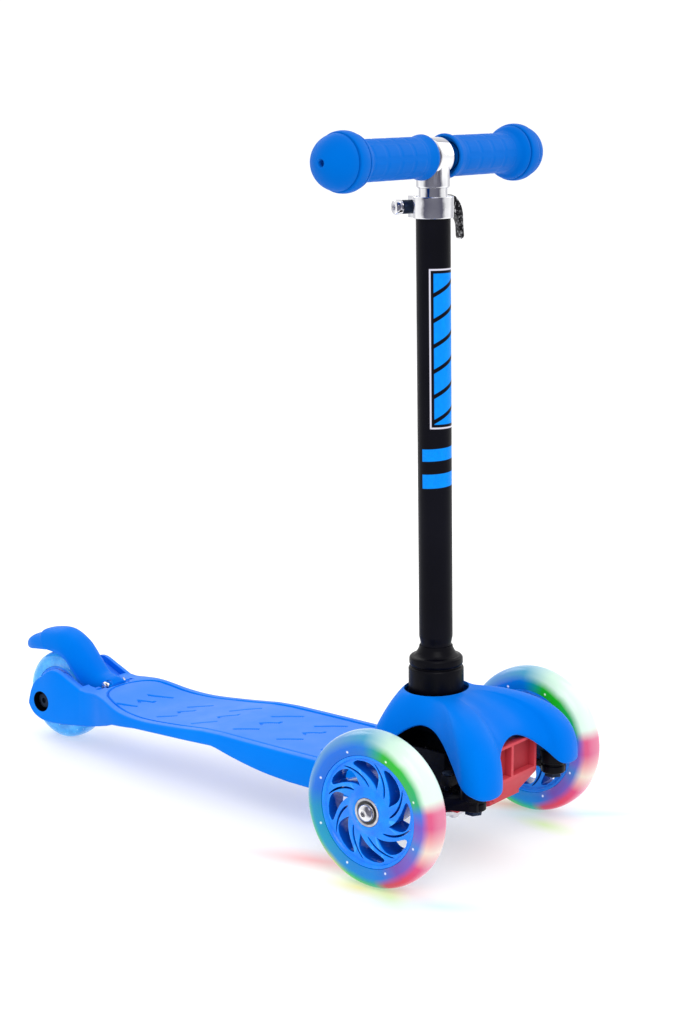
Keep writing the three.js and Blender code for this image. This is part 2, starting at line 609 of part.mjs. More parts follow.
function clampNut() {
  const body = turned([[0, -23.5], [4.6, -23.5], [5.6, -22.5], [5.6, -17.5], [5.1, -17], [5.1, -9.3],
    [0, -9.3]], 'x', [0, SKEWER_OFFSET, 0], 24);
  return cut(body, hole(SKEWER_RADIUS, -22.1, 0, 'x', [SKEWER_OFFSET, 0]),
    rod(2.2, -30, -21.8, 'x', [SKEWER_OFFSET, 0], 6));
}

function camWasher() {
  const body = box([9 + GAP, 12.5], [SKEWER_OFFSET - 5.5, SKEWER_OFFSET + 5.5], [-7.5, 7.5]);
  return cut(body, hole(SKEWER_RADIUS, 0, 30, 'x', [SKEWER_OFFSET, 0]));
}

function camLever() {
  const cam = Array.from({ length: 13 }, (unused, i) => {
    const angle = THREE.MathUtils.degToRad(70 + 16 * i);
    return [CAM_PIN_X + CAM_RADIUS * Math.cos(angle), CAM_RADIUS * Math.sin(angle)];
  });
  const handle = [[34.4, -24.6], [34.8, -22], [33.6, -10], [31.2, 0], [26.8, 6.4]];
  const underside = [[25.2, -6.8], [28, -11.5], [28.9, -18]];
  const outline = [...cam, ...smooth(underside, 6), [29.2, -23.5], [31, -25.4], ...smooth(handle, 10)];
  const body = frontPlate(outline, [SKEWER_OFFSET - 6, SKEWER_OFFSET + 6]);
  const bay = box([10, CAM_PIN_X + 7], [SKEWER_OFFSET - 3.4, SKEWER_OFFSET + 3.4], [-12, 12]);
  const pinHole = hole(SMALL_PIN_RADIUS, 0, 40, 'y', [CAM_PIN_X, 0]);
  return cut(body, bay, pinHole);
}

// ---- handlebar ----
function stem() {
  return turned([[9.3, 186], [STEM_RADIUS, 186], [STEM_RADIUS, 518.5], [9.3, 518.5]], 'z');
}

function stemBushing() {
  return turned([[7, 176], [11, 176], [11, 185.6], [9, 185.6], [9, 196], [7, 196]], 'z', [0, 0, 0], ROUND);
}

function teeJoint() {
  const neck = turned([[0, 508], [12.2, 508], [12.7, 509], [12.7, HANDLE_Z], [0, HANDLE_Z]], 'z', [0, 0, 0],
    ROUND);
  const barrel = turned([[0, -9.8], [13, -9.8], [14.4, -8], [14.4, 8], [13, 9.8], [0, 9.8]],
    'x', [0, 0, HANDLE_Z], ROUND);
  const bar = hole(HANDLE_TUBE_RADIUS, -30, 30, 'x', [0, HANDLE_Z]);
  const socket = hole(STEM_RADIUS, 500, 518.9, 'z', [0, 0]);
  return cut(join(neck, barrel), bar, socket);
}

function handleTube() {
  return turned([[9.4, -104], [HANDLE_TUBE_RADIUS, -104], [HANDLE_TUBE_RADIUS, 104], [9.4, 104]],
    'x', [0, 0, HANDLE_Z], ROUND);
}

function grip(side) {
  const bore = HANDLE_TUBE_RADIUS + 0.25;
  const outline = [[bore, 18], [14.6, 17], [14.6, 13.1], [16.4, 13.1], [16.8, 15], [15.6, 18.5], [15.2, 23],
    [15.2, 90], [16.4, 93.5], [19.4, 96.2], [20.6, 99.6],
    [20.2, 100.8], [21.6, 102.6], [22, 107], [21.4, 112], [20, 113.6], [19.6, 117], [17.4, 122.4],
      [13.6, 127], [8, 130.2], [1.6, 131.6],
    [0, 131.6], [0, 105], [bore, 105]];
  return turned(outline.map(([r, x]) => [r, side * x]), 'x', [0, 0, HANDLE_Z], ROUND);
}

// ---- assembly ----
add('deck', deck(), bluePlastic);
add('bottom_plate', bottomPlate(), steel);
plateScrewPlaces.forEach(([x, y], i) => add(`plate_screw_${i + 1}`, plateScrew(x, y), steel));
add('front_bridge', frontBridge(), redPlastic);
add('steering_housing', steeringHousing(), blackPlastic);
add('front_cover', frontCover(), bluePlastic);
add('steering_head', steeringHead(), blackPlastic);
add('lean_pin', leanPin(), steel);
add('tie_rod', tieRod(), steel);
for (const [name, s] of sides) {
  add(`centring_spring_${name}`, coil(5.2, 0.9, 6, s < 0 ? [-31.2, -8.4] : [8.4, 31.2], [23, 72]), steel);
  add(`tie_rod_pin_${name}`, tieRodPin(s), steel);
  add(`knuckle_${name}`, knuckle(s), blackPlastic);
  add(`kingpin_${name}`, kingpin(s), steel);
  add(`front_axle_${name}`, frontAxle(s), chrome);
  frontWheel(name, s);
}
rearWheel();
add('rear_axle', rearAxle(), steel);
add('rear_axle_nut', rearAxleNut(), steel);
sides.forEach(([name, s]) => add(`rear_washer_${name}`,
  sleeve(AXLE_RADIUS + RUNNING, 6.3, 6, [s * 15.1, REAR_AXLE_Y, REAR_RADIUS]), steel));
add('brake_fender', brakeFender(), bluePlastic);
add('brake_pin', brakePin(), chrome);
add('brake_spring', coil(3.35, 0.5, 4, [-3.5, 3.5], [BRAKE_PIN_Y, BRAKE_PIN_Z]), steel);

add('base_collar', baseCollar(), blackPlastic, column);
add('lower_tube', lowerTube(), blackPaint, column);
add('clamp_collar', clampCollar(), chrome, clampFrame);
add('clamp_skewer', clampSkewer(), steel, clampFrame);
add('clamp_nut', clampNut(), chrome, clampFrame);
add('cam_washer', camWasher(), chrome, clampFrame);
add('cam_lever', camLever(), blackPaint, clampFrame);
add('cam_pin', rod(SMALL_PIN_RADIUS, SKEWER_OFFSET - 6.6, SKEWER_OFFSET + 6.6, 'y', [CAM_PIN_X, 0]),
  chrome, clampFrame);
add('stem', stem(), chrome, column);
add('stem_bushing', stemBushing(), blackPlastic, column);
add('tee_joint', teeJoint(), chrome, column);
add('handle_tube', handleTube(), chrome, column);
sides.forEach(([name, s]) => add(`grip_${name}`, grip(s), blueRubber, column));

scooter.updateMatrixWorld(true);
const whole = new THREE.Box3().setFromObject(scooter);
scooter.position.set(-(whole.min.x + whole.max.x) / 2, -(whole.min.y + whole.max.y) / 2, -whole.min.z);

export default scooter;
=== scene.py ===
import json
import math
from contextlib import contextmanager

import bmesh
import bpy
import numpy as np
from mathutils import Matrix, Vector

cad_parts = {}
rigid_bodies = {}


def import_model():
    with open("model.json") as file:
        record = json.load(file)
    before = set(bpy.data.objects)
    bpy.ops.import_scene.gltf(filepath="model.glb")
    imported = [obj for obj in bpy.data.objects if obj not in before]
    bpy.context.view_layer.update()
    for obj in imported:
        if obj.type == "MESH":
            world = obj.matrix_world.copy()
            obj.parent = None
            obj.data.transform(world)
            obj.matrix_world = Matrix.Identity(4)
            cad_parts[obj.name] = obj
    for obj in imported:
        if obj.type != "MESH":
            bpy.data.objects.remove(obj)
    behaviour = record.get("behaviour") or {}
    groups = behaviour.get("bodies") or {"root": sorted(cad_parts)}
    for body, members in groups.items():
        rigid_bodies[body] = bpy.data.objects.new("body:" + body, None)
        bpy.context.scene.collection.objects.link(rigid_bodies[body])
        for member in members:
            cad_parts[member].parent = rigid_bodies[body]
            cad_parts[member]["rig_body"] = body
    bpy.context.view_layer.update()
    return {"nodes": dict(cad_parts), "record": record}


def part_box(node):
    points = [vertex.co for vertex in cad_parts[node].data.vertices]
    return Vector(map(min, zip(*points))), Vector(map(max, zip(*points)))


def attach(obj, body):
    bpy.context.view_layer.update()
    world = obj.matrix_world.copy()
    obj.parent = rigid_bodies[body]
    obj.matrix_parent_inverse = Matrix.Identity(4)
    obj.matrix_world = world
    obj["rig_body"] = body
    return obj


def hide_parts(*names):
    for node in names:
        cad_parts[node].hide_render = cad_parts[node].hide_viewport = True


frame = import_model()

# ---- driving dimensions in millimetres, from the floor under the front axle ----
MM = 0.001
FRONT_RADIUS = 60.0
REAR_RADIUS = 40.0
HALF_TRACK = 105.2
WHEEL_HALF = 12.0
BEARING_RADIUS = 11.0
BEARING_OFFSET = 8.0
CORE_WEB = 9.2
REAR_AXLE_Y = 433.4
KINGPIN = (54.0, -52.0)
COLUMN_Y = 19.85
COLUMN_RAKE = math.radians(1.13)
TUBE_RADIUS = 13.0
STEM_RADIUS = 10.8
HANDLE_Z = 530.5
CLAMP_Z = 493.7
CLAMP_YAW = math.radians(25)
SKEWER_OFFSET = 18.0
CAM_PIN_X = 21.0
DECK_TOP = 61.0
DECK_BOTTOM = 36.3
FORK_INNER = 18.5
FORK_OUTER = 34.0
PAN_FRONT = -2.0
BRAKE_PIN = (374.0, 60.5)

# ---- frames that the pieces are drawn in ----
front_low, front_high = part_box("front_tyre_left")
AXLE_Y = (front_low.y + front_high.y) / 2
FLOOR = Matrix.Translation((0, AXLE_Y, 0)) @ Matrix.Scale(MM, 4)
COLUMN = FLOOR @ Matrix.Translation((0, COLUMN_Y, 0)) @ Matrix.Rotation(-COLUMN_RAKE, 4, "X")
CLAMP = COLUMN @ Matrix.Translation((0, 0, CLAMP_Z)) @ Matrix.Rotation(-CLAMP_YAW, 4, "Z")
BAR = COLUMN @ Matrix.Translation((0, 0, HANDLE_Z))
SIDES = (("left", -1), ("right", 1))


# ---- curves and profiles ----
def catmull(points, steps, closed=False):
    """Catmull-Rom curve through the points, as evenly stepped points of any dimension."""
    pts = [np.array(p, float) for p in points]
    count = len(pts)
    spans = count if closed else count - 1
    total = steps if closed else steps + 1
    out = []
    for k in range(total):
        t = k * spans / steps
        i = min(int(t), spans - 1)
        f = t - i
        if closed:
            a, b, c, d = (pts[(i + j) % count] for j in (-1, 0, 1, 2))
        else:
            b, c = pts[i], pts[i + 1]
            a = pts[i - 1] if i > 0 else 2 * b - c
            d = pts[i + 2] if i + 2 < count else 2 * c - b
        square = (2 * a - 5 * b + 4 * c - d) * f * f
        cube = (3 * b - a - 3 * c + d) * f ** 3
        out.append(tuple(0.5 * (2 * b + (c - a) * f + square + cube)))
    return out


def rounded(points, radius, steps=4, closed=True):
    """The outline with each corner cut back by up to the radius and rounded off."""
    out = []
    count = len(points)
    for i, point in enumerate(points):
        if not closed and i in (0, count - 1):
            out.append(tuple(point))
            continue
        corner = Vector(point)
        before = Vector(points[i - 1]) - corner
        after = Vector(points[(i + 1) % count]) - corner
        reach = min(radius, 0.45 * before.length, 0.45 * after.length)
        start = corner + before.normalized() * reach
        end = corner + after.normalized() * reach
        for k in range(steps + 1):
            t = k / steps
            out.append(tuple((1 - t) ** 2 * start + 2 * t * (1 - t) * corner + t ** 2 * end))
    return out


def smoothstep(edge0, edge1, value):
    t = np.clip((value - edge0) / (edge1 - edge0), 0, 1)
    return t * t * (3 - 2 * t)


# ---- shapes: (vertices, faces) ----
def lathe(profile, axis="z", centre=(0, 0, 0), segments=96, ring=False):
    """Surface of revolution of (radius, height) points; a ring's outline closes on itself."""
    verts, rows = [], []
    for radius, height in profile:
        if radius < 1e-6:
            rows.append([len(verts)] * segments)
            verts.append((0, 0, height))
            continue
        rows.append(range(len(verts), len(verts) + segments))
        for k in range(segments):
            a = 2 * math.pi * k / segments
            verts.append((radius * math.cos(a), radius * math.sin(a), height))
    faces = []
    for i in range(len(rows) if ring else len(rows) - 1):
        low, high = rows[i], rows[(i + 1) % len(rows)]
        for k in range(segments):
            n = (k + 1) % segments
            corner = [low[k], low[n], high[n], high[k]]
            faces.append(list(dict.fromkeys(corner)))
    turn = {"z": lambda v: v, "x": lambda v: (v[2], v[0], v[1]), "y": lambda v: (v[0], v[2], v[1])}[axis]
    moved = [tuple(Vector(turn(v)) + Vector(centre)) for v in verts]
    return moved, [f for f in faces if len(f) > 2]


def prism(outline, low, high, plane="yz"):
    """Straight extrusion of an outline; plane names the outline's two directions."""
    place = {
        "yz": lambda u, v, w: (w, u, v),
        "xz": lambda u, v, w: (u, w, v),
        "xy": lambda u, v, w: (u, v, w),
    }[plane]
    count = len(outline)
    verts = [place(u, v, w) for w in (low, high) for u, v in outline]
    faces = [list(range(count)), list(range(2 * count - 1, count - 1, -1))]
    faces += [[k, (k + 1) % count, count + (k + 1) % count, count + k] for k in range(count)]
    return verts, faces


def block(x, y, z):
    return prism([(x[0], y[0]), (x[1], y[0]), (x[1], y[1]), (x[0], y[1])], z[0], z[1], "xy")


def rod(radius, low, high, axis, centre, segments=48):
    """Cylinder along an axis; the centre gives the two coordinates across it."""
    place = {"x": (0, centre[0], centre[1]), "y": (centre[0], 0, centre[1]), "z": (centre[0], centre[1], 0)}
    return lathe([(0, low), (radius, low), (radius, high), (0, high)], axis, place[axis], segments)


def both(*shapes):
    """Several shapes as one."""
    verts, faces = [], []
    for v, f in shapes:
        faces += [[i + len(verts) for i in face] for face in f]
        verts += list(v)
    return verts, faces


def loft(rings, closed=False):
    """Skin over rings of equal point count; open lofts are capped at both ends."""
    count = len(rings[0])
    verts = [tuple(p) for ring in rings for p in ring]
    faces = []
    for i in range(len(rings) if closed else len(rings) - 1):
        a, b = i * count, ((i + 1) % len(rings)) * count
        for k in range(count):
            n = (k + 1) % count
            faces.append([a + k, a + n, b + n, b + k])
    if not closed:
        faces += [list(range(count)), list(range(len(verts) - 1, len(verts) - count - 1, -1))]
    return verts, faces


# ---- objects ----
@contextmanager
def editing(mesh):
    """Opens a mesh for editing, and writes it back at the end."""
    bm = bmesh.new()
    bm.from_mesh(mesh)
    yield bm
    bm.to_mesh(mesh)
    bm.free()


def added(name, data):
    """A new object in the scene."""
    obj = bpy.data.objects.new(name, data)
    bpy.context.scene.collection.objects.link(obj)
    return obj


def mesh_from(shape, place):
    mesh = bpy.data.meshes.new("shape")
    mesh.from_pydata([tuple(place @ Vector(v)) for v in shape[0]], [], [list(f) for f in shape[1]])
    with editing(mesh) as bm:
        bmesh.ops.remove_doubles(bm, verts=bm.verts, dist=1e-6)
        bmesh.ops.recalc_face_normals(bm, faces=bm.faces)
    return mesh


def shade(mesh, degrees):
    """Smooth shading, with edges sharper than the angle kept crisp."""
    limit = math.radians(degrees)
    with editing(mesh) as bm:
        for face in bm.faces:
            face.smooth = True
        for edge in bm.edges:
            edge.smooth = edge.calc_face_angle(0.0) < limit


def bevel(bm, edges, width, segments):
    bmesh.ops.bevel(bm, geom=edges, offset=width * MM, segments=segments, profile=0.5, affect="EDGES",
                    clamp_overlap=True)


def soften(mesh, width, segments=3, degrees=35):
    """Rounds the edges sharper than the angle."""
    limit = math.radians(degrees)
    with editing(mesh) as bm:
        bevel(bm, [e for e in bm.edges if e.is_manifold and e.calc_face_angle(0.0) > limit], width, segments)


def combine(mesh, tool, operation):
    """The mesh after an exact boolean with another one."""
    target = added("target", mesh)
    other = added("tool", tool)
    step = target.modifiers.new("cut", "BOOLEAN")
    step.operation = operation
    step.solver = "EXACT"
    step.use_self = False
    step.object = other
    graph = bpy.context.evaluated_depsgraph_get()
    result = bpy.data.meshes.new_from_object(target.evaluated_get(graph))
    for o in (target, other):
        bpy.data.objects.remove(o)
    return result


def cut(mesh, place, *tools):
    for tool in tools:
        mesh = combine(mesh, mesh_from(tool, place), "DIFFERENCE")
    return mesh


def joined(mesh, shape, place):
    return combine(mesh, mesh_from(shape, place), "UNION")


def turned(profile, place, axis="z", centre=(0, 0, 0), segments=96, ring=False):
    """Mesh of a lathed profile."""
    return mesh_from(lathe(profile, axis, centre, segments, ring), place)


def piece(name, mesh, material, body, node, degrees=35, origin=None):
    """A finished visible piece that rides on a body and stands for a CAD node."""
    if origin is not None:
        mesh.transform(Matrix.Translation(-origin))
    obj = added(name, mesh)
    obj.data.name = name
    if origin is not None:
        obj.location = origin
    shade(mesh, degrees)
    mesh.materials.clear()
    mesh.materials.append(material)
    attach(obj, body)
    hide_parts(node)
    return obj


def dressed(node, material, width=0.4, degrees=35, trim=()):
    """A CAD node's own shape, joined into whole faces, with its edges rounded."""
    source = frame["nodes"][node]
    mesh = source.data.copy()
    if "custom_normal" in mesh.attributes:
        mesh.attributes.remove(mesh.attributes["custom_normal"])
    with editing(mesh) as bm:
        bmesh.ops.remove_doubles(bm, verts=bm.verts, dist=2e-6)
        bmesh.ops.dissolve_limit(bm, angle_limit=math.radians(1), verts=bm.verts, edges=bm.edges)
        bmesh.ops.recalc_face_normals(bm, faces=bm.faces)
    mesh = cut(mesh, FLOOR, *trim)
    if width:
        soften(mesh, width, 2)
    return piece(f"{node}_finished", mesh, material, source["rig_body"], node, degrees)


# ---- material nodes ----
class Graph:
    """Short way to write a material's node tree."""

    def __init__(self, name):
        self.material = bpy.data.materials.new(name)
        self.material.use_nodes = True
        self.tree = self.material.node_tree
        self.tree.nodes.clear()
        self.out = self.tree.nodes.new("ShaderNodeOutputMaterial")

    def node(self, kind, sockets=None, **settings):
        made = self.tree.nodes.new("ShaderNode" + kind)
        for key, value in settings.items():
            setattr(made, key, value)
        for key, value in (sockets or {}).items():
            if isinstance(value, bpy.types.NodeSocket):
                self.tree.links.new(value, made.inputs[key])
            else:
                made.inputs[key].default_value = value
        return made

    def math(self, operation, a, b=0.0, c=0.0, clamp=False):
        return self.node("Math", {0: a, 1: b, 2: c}, operation=operation, use_clamp=clamp).outputs[0]

    def add(self, a, b, clamp=False):
        return self.math("ADD", a, b, clamp=clamp)

    def times(self, a, b, clamp=False):
        return self.math("MULTIPLY", a, b, clamp=clamp)

    def length(self, a, b):
        """Length of the vector (a, b)."""
        return self.math("SQRT", self.add(self.times(a, a), self.times(b, b)))

    def position(self):
        return self.node("TexCoord").outputs["Object"]

    def pointed(self):
        return self.node("NewGeometry").outputs["Pointiness"]

    def xyz(self, vector=None):
        """X, Y and Z in millimetres, in the object's own frame unless a vector is given."""
        split = self.node("SeparateXYZ", {"Vector": vector or self.position()})
        return [self.times(split.outputs[k], 1 / MM) for k in range(3)]

    def noise(self, scale, detail=2.0, rough=0.5, vector=None):
        found = {"Scale": scale, "Detail": detail, "Roughness": rough, "Vector": vector or self.position()}
        return self.node("TexNoise", found).outputs["Fac"]

    def remap(self, value, low, high, new_low, new_high):
        sockets = {"Value": value, "From Min": low, "From Max": high, "To Min": new_low, "To Max": new_high}
        return self.node("MapRange", sockets).outputs["Result"]

    def vary(self, value, low, high):
        """Takes a noise value, which is mostly 0.3 to 0.7, to a range."""
        return self.remap(value, 0.3, 0.7, low, high)

    def mix(self, share, first, second, blend="MIX"):
        sockets = {0: share, 6: first, 7: second}
        return self.node("Mix", sockets, data_type="RGBA", blend_type=blend).outputs[2]

    def ramp(self, value, stops):
        made = self.node("ValToRGB", {"Fac": value})
        items = made.color_ramp.elements
        while len(items) < len(stops):
            items.new(0.5)
        for item, (place, colour) in zip(items, stops):
            item.position = place
            item.color = colour
        return made.outputs["Color"]

    def bump(self, height, strength, distance, normal=None):
        sockets = {"Height": height, "Strength": strength, "Distance": distance}
        if normal is not None:
            sockets["Normal"] = normal
        return self.node("Bump", sockets).outputs["Normal"]

    def finish(self, colour, roughness, normal=None, more=None):
        """Ends in the principled shader; its further sockets are given by name."""
        sockets = {"Base Color": colour, "Roughness": roughness, **(more or {})}
        if normal is not None:
            sockets["Normal"] = normal
        shader = self.node("BsdfPrincipled", sockets)
        self.tree.links.new(shader.outputs[0], self.out.inputs["Surface"])
        return self.material


def rgba(red, green, blue):
    return (red, green, blue, 1.0)


def scaled(colour, share, lift=0.0):
    return rgba(*(min(1.0, c * share + lift) for c in colour[:3]))


WHITE = rgba(1.0, 1.0, 1.0)
BLACK = rgba(0.0, 0.0, 0.0)
BLUE = rgba(0.0, 0.172, 0.72)
BLUE_SHADOW = rgba(0.0, 0.10, 0.60)
BLUE_SHINE = rgba(0.02, 0.4, 1.0)
# Paler blue painted on the deck's upward faces as a sheen.
TOP_SHEEN_BLUE = rgba(0.055, 0.22, 0.86)
# Near black: the black tube coat, and the shade painted on the axle sockets' walls.
BLACK_COAT_AND_SOCKET_SHADE = rgba(0.001, 0.001, 0.003)
BARE_METAL = rgba(0.75, 0.75, 0.78)
SOCKET_RADIUS = 9.3
SOCKET_FLOOR = 24.5


def axle_socket_shade(g):
    """1 on the walls of the sockets that hold the rear axle's ends, where near-black shade is painted, 0
    elsewhere.
    """
    axle = tuple(FLOOR @ Vector((0, REAR_AXLE_Y, REAR_RADIUS)))
    away = g.node("VectorMath", {0: g.position(), 1: axle}, operation="SUBTRACT").outputs[0]
    x, y, z = g.xyz(away)
    near = g.remap(g.length(y, z), SOCKET_RADIUS - 0.2, SOCKET_RADIUS + 0.2, 1.0, 0.0)
    return g.times(near, g.remap(g.math("ABSOLUTE", x), SOCKET_FLOOR - 0.5, SOCKET_FLOOR + 0.5, 0.0, 1.0))


def moulded(name, colour, shadow, roughness, grain=1600.0, grain_depth=0.00004, specular=0.5, tint=WHITE,
            is_deck=False):
    """Injection-moulded plastic: fine grain, colour drift, smears, painted shade in creases and rubbed edges;
    the deck adds a painted sheen on its top and painted shade in its axle sockets.
    """
    g = Graph(name)
    base = g.mix(g.vary(g.noise(9.0, 3.0), 0.0, 0.3), colour, shadow)
    pointed = g.pointed()
    # Painted shade: the colour darkens towards the shadow colour in creases and hollows.
    crease_shade = g.remap(pointed, 0.42, 0.495, 0.75, 0.0)
    base = g.mix(crease_shade, base, shadow)
    rub = g.times(g.remap(pointed, 0.53, 0.62, 0.0, 0.35), g.noise(240.0, 4.0))
    base = g.mix(rub, base, scaled(colour, 1.3, 0.06))
    if is_deck:
        # Painted sheen: faces that point up are lightened towards a paler blue.
        up = g.node("SeparateXYZ", {"Vector": g.node("NewGeometry").outputs["Normal"]}).outputs[2]
        base = g.mix(g.remap(up, 0.8, 0.97, 0.0, 0.8), base, g.mix(crease_shade, TOP_SHEEN_BLUE, shadow))
        # Painted shade: the walls of the rear axle sockets go near black.
        base = g.mix(axle_socket_shade(g), base, BLACK_COAT_AND_SOCKET_SHADE)
    rough = g.vary(g.noise(38.0, 5.0, 0.6), roughness - 0.07, roughness + 0.09)
    fine = g.bump(g.noise(grain, 3.0, 0.6), 0.5, grain_depth)
    normal = g.bump(g.noise(55.0, 2.0), 0.25, 0.0002, fine)
    return g.finish(base, rough, normal, {"Specular IOR Level": specular, "Specular Tint": tint})


def metal(name, colour, roughness, brushed=0.1):
    """Bare or plated metal: polishing lines, fingerprints and painted shade in the hollows."""
    g = Graph(name)
    where = g.node("Mapping", {"Vector": g.position(), "Scale": (60.0, 60.0, 1500.0)}).outputs[0]
    lines = g.noise(8.0, 3.0, 0.6, where)
    cloud = g.noise(130.0, 4.0, 0.6)
    smudge_and_shade = scaled(colour, 0.62)
    base = g.mix(g.remap(cloud, 0.45, 0.75, 0.0, 0.3), colour, smudge_and_shade)
    # Painted shade: the colour darkens in the hollows.
    base = g.mix(g.remap(g.pointed(), 0.4, 0.49, 0.5, 0.0), base, smudge_and_shade)
    rough = g.add(g.vary(cloud, roughness * 0.7, roughness * 1.4), g.times(lines, brushed))
    return g.finish(base, rough, g.bump(lines, 0.15 + brushed, 0.00002), {"Metallic": 1.0})


def plated(name):
    """Polished chrome with a painted reflection: dark where it faces the viewer, then bright and grey bands
    towards its edges, and painted shade in its hollows.
    """
    g = Graph(name)
    # Painted reflection: the colour runs from dark to bright bands by how squarely the surface faces the
    # viewer.
    facing = g.node("LayerWeight", {"Blend": 0.5}).outputs["Facing"]
    cloud = g.noise(130.0, 4.0, 0.6)
    wander = g.add(facing, g.vary(cloud, -0.03, 0.03))
    base = g.ramp(wander, [
        (0.0, rgba(0.16, 0.16, 0.2)), (0.10, rgba(0.10, 0.10, 0.14)), (0.2, BARE_METAL),
        (0.42, rgba(0.92, 0.92, 0.94)), (0.6, rgba(0.45, 0.45, 0.5)), (1.0, rgba(0.8, 0.8, 0.83))])
    # Painted shade: the colour darkens in the hollows.
    base = g.mix(g.remap(g.pointed(), 0.4, 0.49, 0.6, 0.0), base, rgba(0.08, 0.08, 0.1))
    normal = g.bump(g.noise(900.0, 2.0), 0.1, 0.00002)
    return g.finish(base, g.vary(cloud, 0.05, 0.11), normal, {"Metallic": 1.0})


def sealed_bearing(name):
    """Bearing steel with a black seal between the rings."""
    g = Graph(name)
    _, y, z = g.xyz()
    radius = g.length(y, z)
    seal = g.times(g.remap(radius, 6.3, 6.7, 0.0, 1.0), g.remap(radius, 8.7, 9.1, 1.0, 0.0))
    cloud = g.noise(200.0, 4.0)
    ring = g.mix(g.remap(cloud, 0.35, 0.65, 0.0, 1.0), rgba(0.6, 0.6, 0.64), rgba(0.38, 0.38, 0.42))
    base = g.mix(seal, ring, rgba(0.006, 0.006, 0.01))
    normal = g.bump(g.noise(700.0, 2.0), 0.15, 0.00002)
    return g.finish(base, g.vary(cloud, 0.22, 0.38), normal, {"Metallic": g.math("SUBTRACT", 1.0, seal)})


def worn_black(name):
    """Black lever with its lacquer rubbed through to bright metal along the ridges."""
    g = Graph(name)
    patch = g.remap(g.noise(420.0, 5.0, 0.7), 0.5, 0.62, 0.0, 1.0)
    worn = g.times(patch, g.remap(g.pointed(), 0.5, 0.56, 0.15, 1.0), clamp=True)
    base = g.mix(worn, rgba(0.002, 0.002, 0.004), BARE_METAL)
    normal = g.bump(g.noise(700.0, 3.0), 0.2, 0.00003)
    return g.finish(base, g.vary(g.noise(90.0), 0.16, 0.32), normal,
                    {"Metallic": worn, "Specular IOR Level": 0.1})


# The tube's print, in millimetres: heights up the tube, and reach round it to each side of its front.
BANDS = ((305.3, 314.6), (284.5, 295.3))
BAND_REACH = 22.7
BAND_RISE = 0.07
PANEL_HEIGHTS = (329.0, 449.0)
PANEL_REACH = 15.7
OUTLINE_WIDTH = 1.2
STRIPE_INSET = 3.4
STRIPE_PITCH = 19.0
STRIPE = (1.0, 16.6)
STRIPE_RISE = 0.55


def inside(g, value, low, high, blur=0.25):
    """1 between two values and 0 outside them."""
    up = g.remap(value, low - blur, low + blur, 0.0, 1.0)
    down = g.remap(value, high - blur, high + blur, 1.0, 0.0)
    return g.times(up, down)


def tube_paint(name):
    """Satin black powder coat, printed with two bands and a pale-edged panel of slanted blue stripes."""
    g = Graph(name)
    x, y, height = g.xyz()
    arc = g.times(g.math("ARCTAN2", x, g.times(y, -1.0)), TUBE_RADIUS)

    def panel(inset):
        low, high = PANEL_HEIGHTS
        reach = PANEL_REACH - inset
        return g.times(inside(g, height, low + inset, high - inset), inside(g, arc, -reach, reach))

    tilted = g.math("MULTIPLY_ADD", arc, -BAND_RISE, height)
    bands = g.add(*(inside(g, tilted, *band) for band in BANDS), clamp=True)
    bands = g.times(bands, inside(g, arc, -BAND_REACH, BAND_REACH))
    slanted = g.math("MULTIPLY_ADD", arc, -STRIPE_RISE, height)
    phase = g.times(g.math("FRACT", g.math("DIVIDE", slanted, STRIPE_PITCH)), STRIPE_PITCH)
    white = g.math("SUBTRACT", panel(0.0), panel(OUTLINE_WIDTH), clamp=True)
    stripes = g.times(inside(g, phase, *STRIPE), panel(STRIPE_INSET))
    speck = g.vary(g.noise(300.0, 3.0), 0.85, 1.0)
    base = g.mix(g.vary(g.noise(14.0), 0.0, 1.0), BLACK_COAT_AND_SOCKET_SHADE, rgba(0.003, 0.003, 0.007))
    base = g.mix(white, base, rgba(0.62, 0.60, 0.70))
    base = g.mix(g.times(g.add(bands, stripes, clamp=True), speck), base, rgba(0.0, 0.25, 0.88))
    printed = g.add(white, bands, clamp=True)
    rough = g.math("SUBTRACT", g.vary(g.noise(70.0, 4.0), 0.3, 0.42), g.times(printed, 0.1))
    orange_peel = g.bump(g.noise(900.0, 2.0), 0.35, 0.00004)
    normal = g.bump(printed, 0.6, 0.00005, orange_peel)
    return g.finish(base, rough, normal, {"Specular IOR Level": 0.06})


def core_plastic(name):
    """Clear-tinted blue wheel core with a few flow marks: light travels a little way in as a faint painted
    glow, with painted shade in its hollows and on the inner walls of its openings, and painted highlights
    along its edges.
    """
    g = Graph(name)
    flow = g.noise(70.0, 4.0, 0.6)
    base = g.mix(g.remap(flow, 0.35, 0.65, 0.0, 1.0), rgba(0.0, 0.17, 0.80), rgba(0.0, 0.24, 0.92))
    pointed = g.pointed()
    # Painted shade in the hollows, then painted highlights along the edges.
    base = g.mix(g.remap(pointed, 0.4, 0.49, 0.8, 0.0), base, rgba(0.0, 0.06, 0.55))
    base = g.mix(g.remap(pointed, 0.52, 0.6, 0.0, 0.55), base, rgba(0.05, 0.42, 1.0))
    # Painted shade on the inner walls of the openings, inside the web.
    inner_wall_shade = g.remap(g.math("ABSOLUTE", g.xyz()[0]), CORE_WEB - 1.6, CORE_WEB - 0.5, 1.0, 0.0)
    base = g.mix(g.times(inner_wall_shade, 0.85), base, rgba(0.0, 0.035, 0.33))
    # The faint emission is a painted glow.
    return g.finish(base, g.vary(g.noise(160.0, 3.0), 0.1, 0.2), g.bump(g.noise(120.0, 2.0), 0.15, 0.0002), {
        "Specular IOR Level": 0.25, "Coat Weight": 0.15, "Coat Roughness": 0.08, "Emission Color": base,
        "Emission Strength": 0.06})


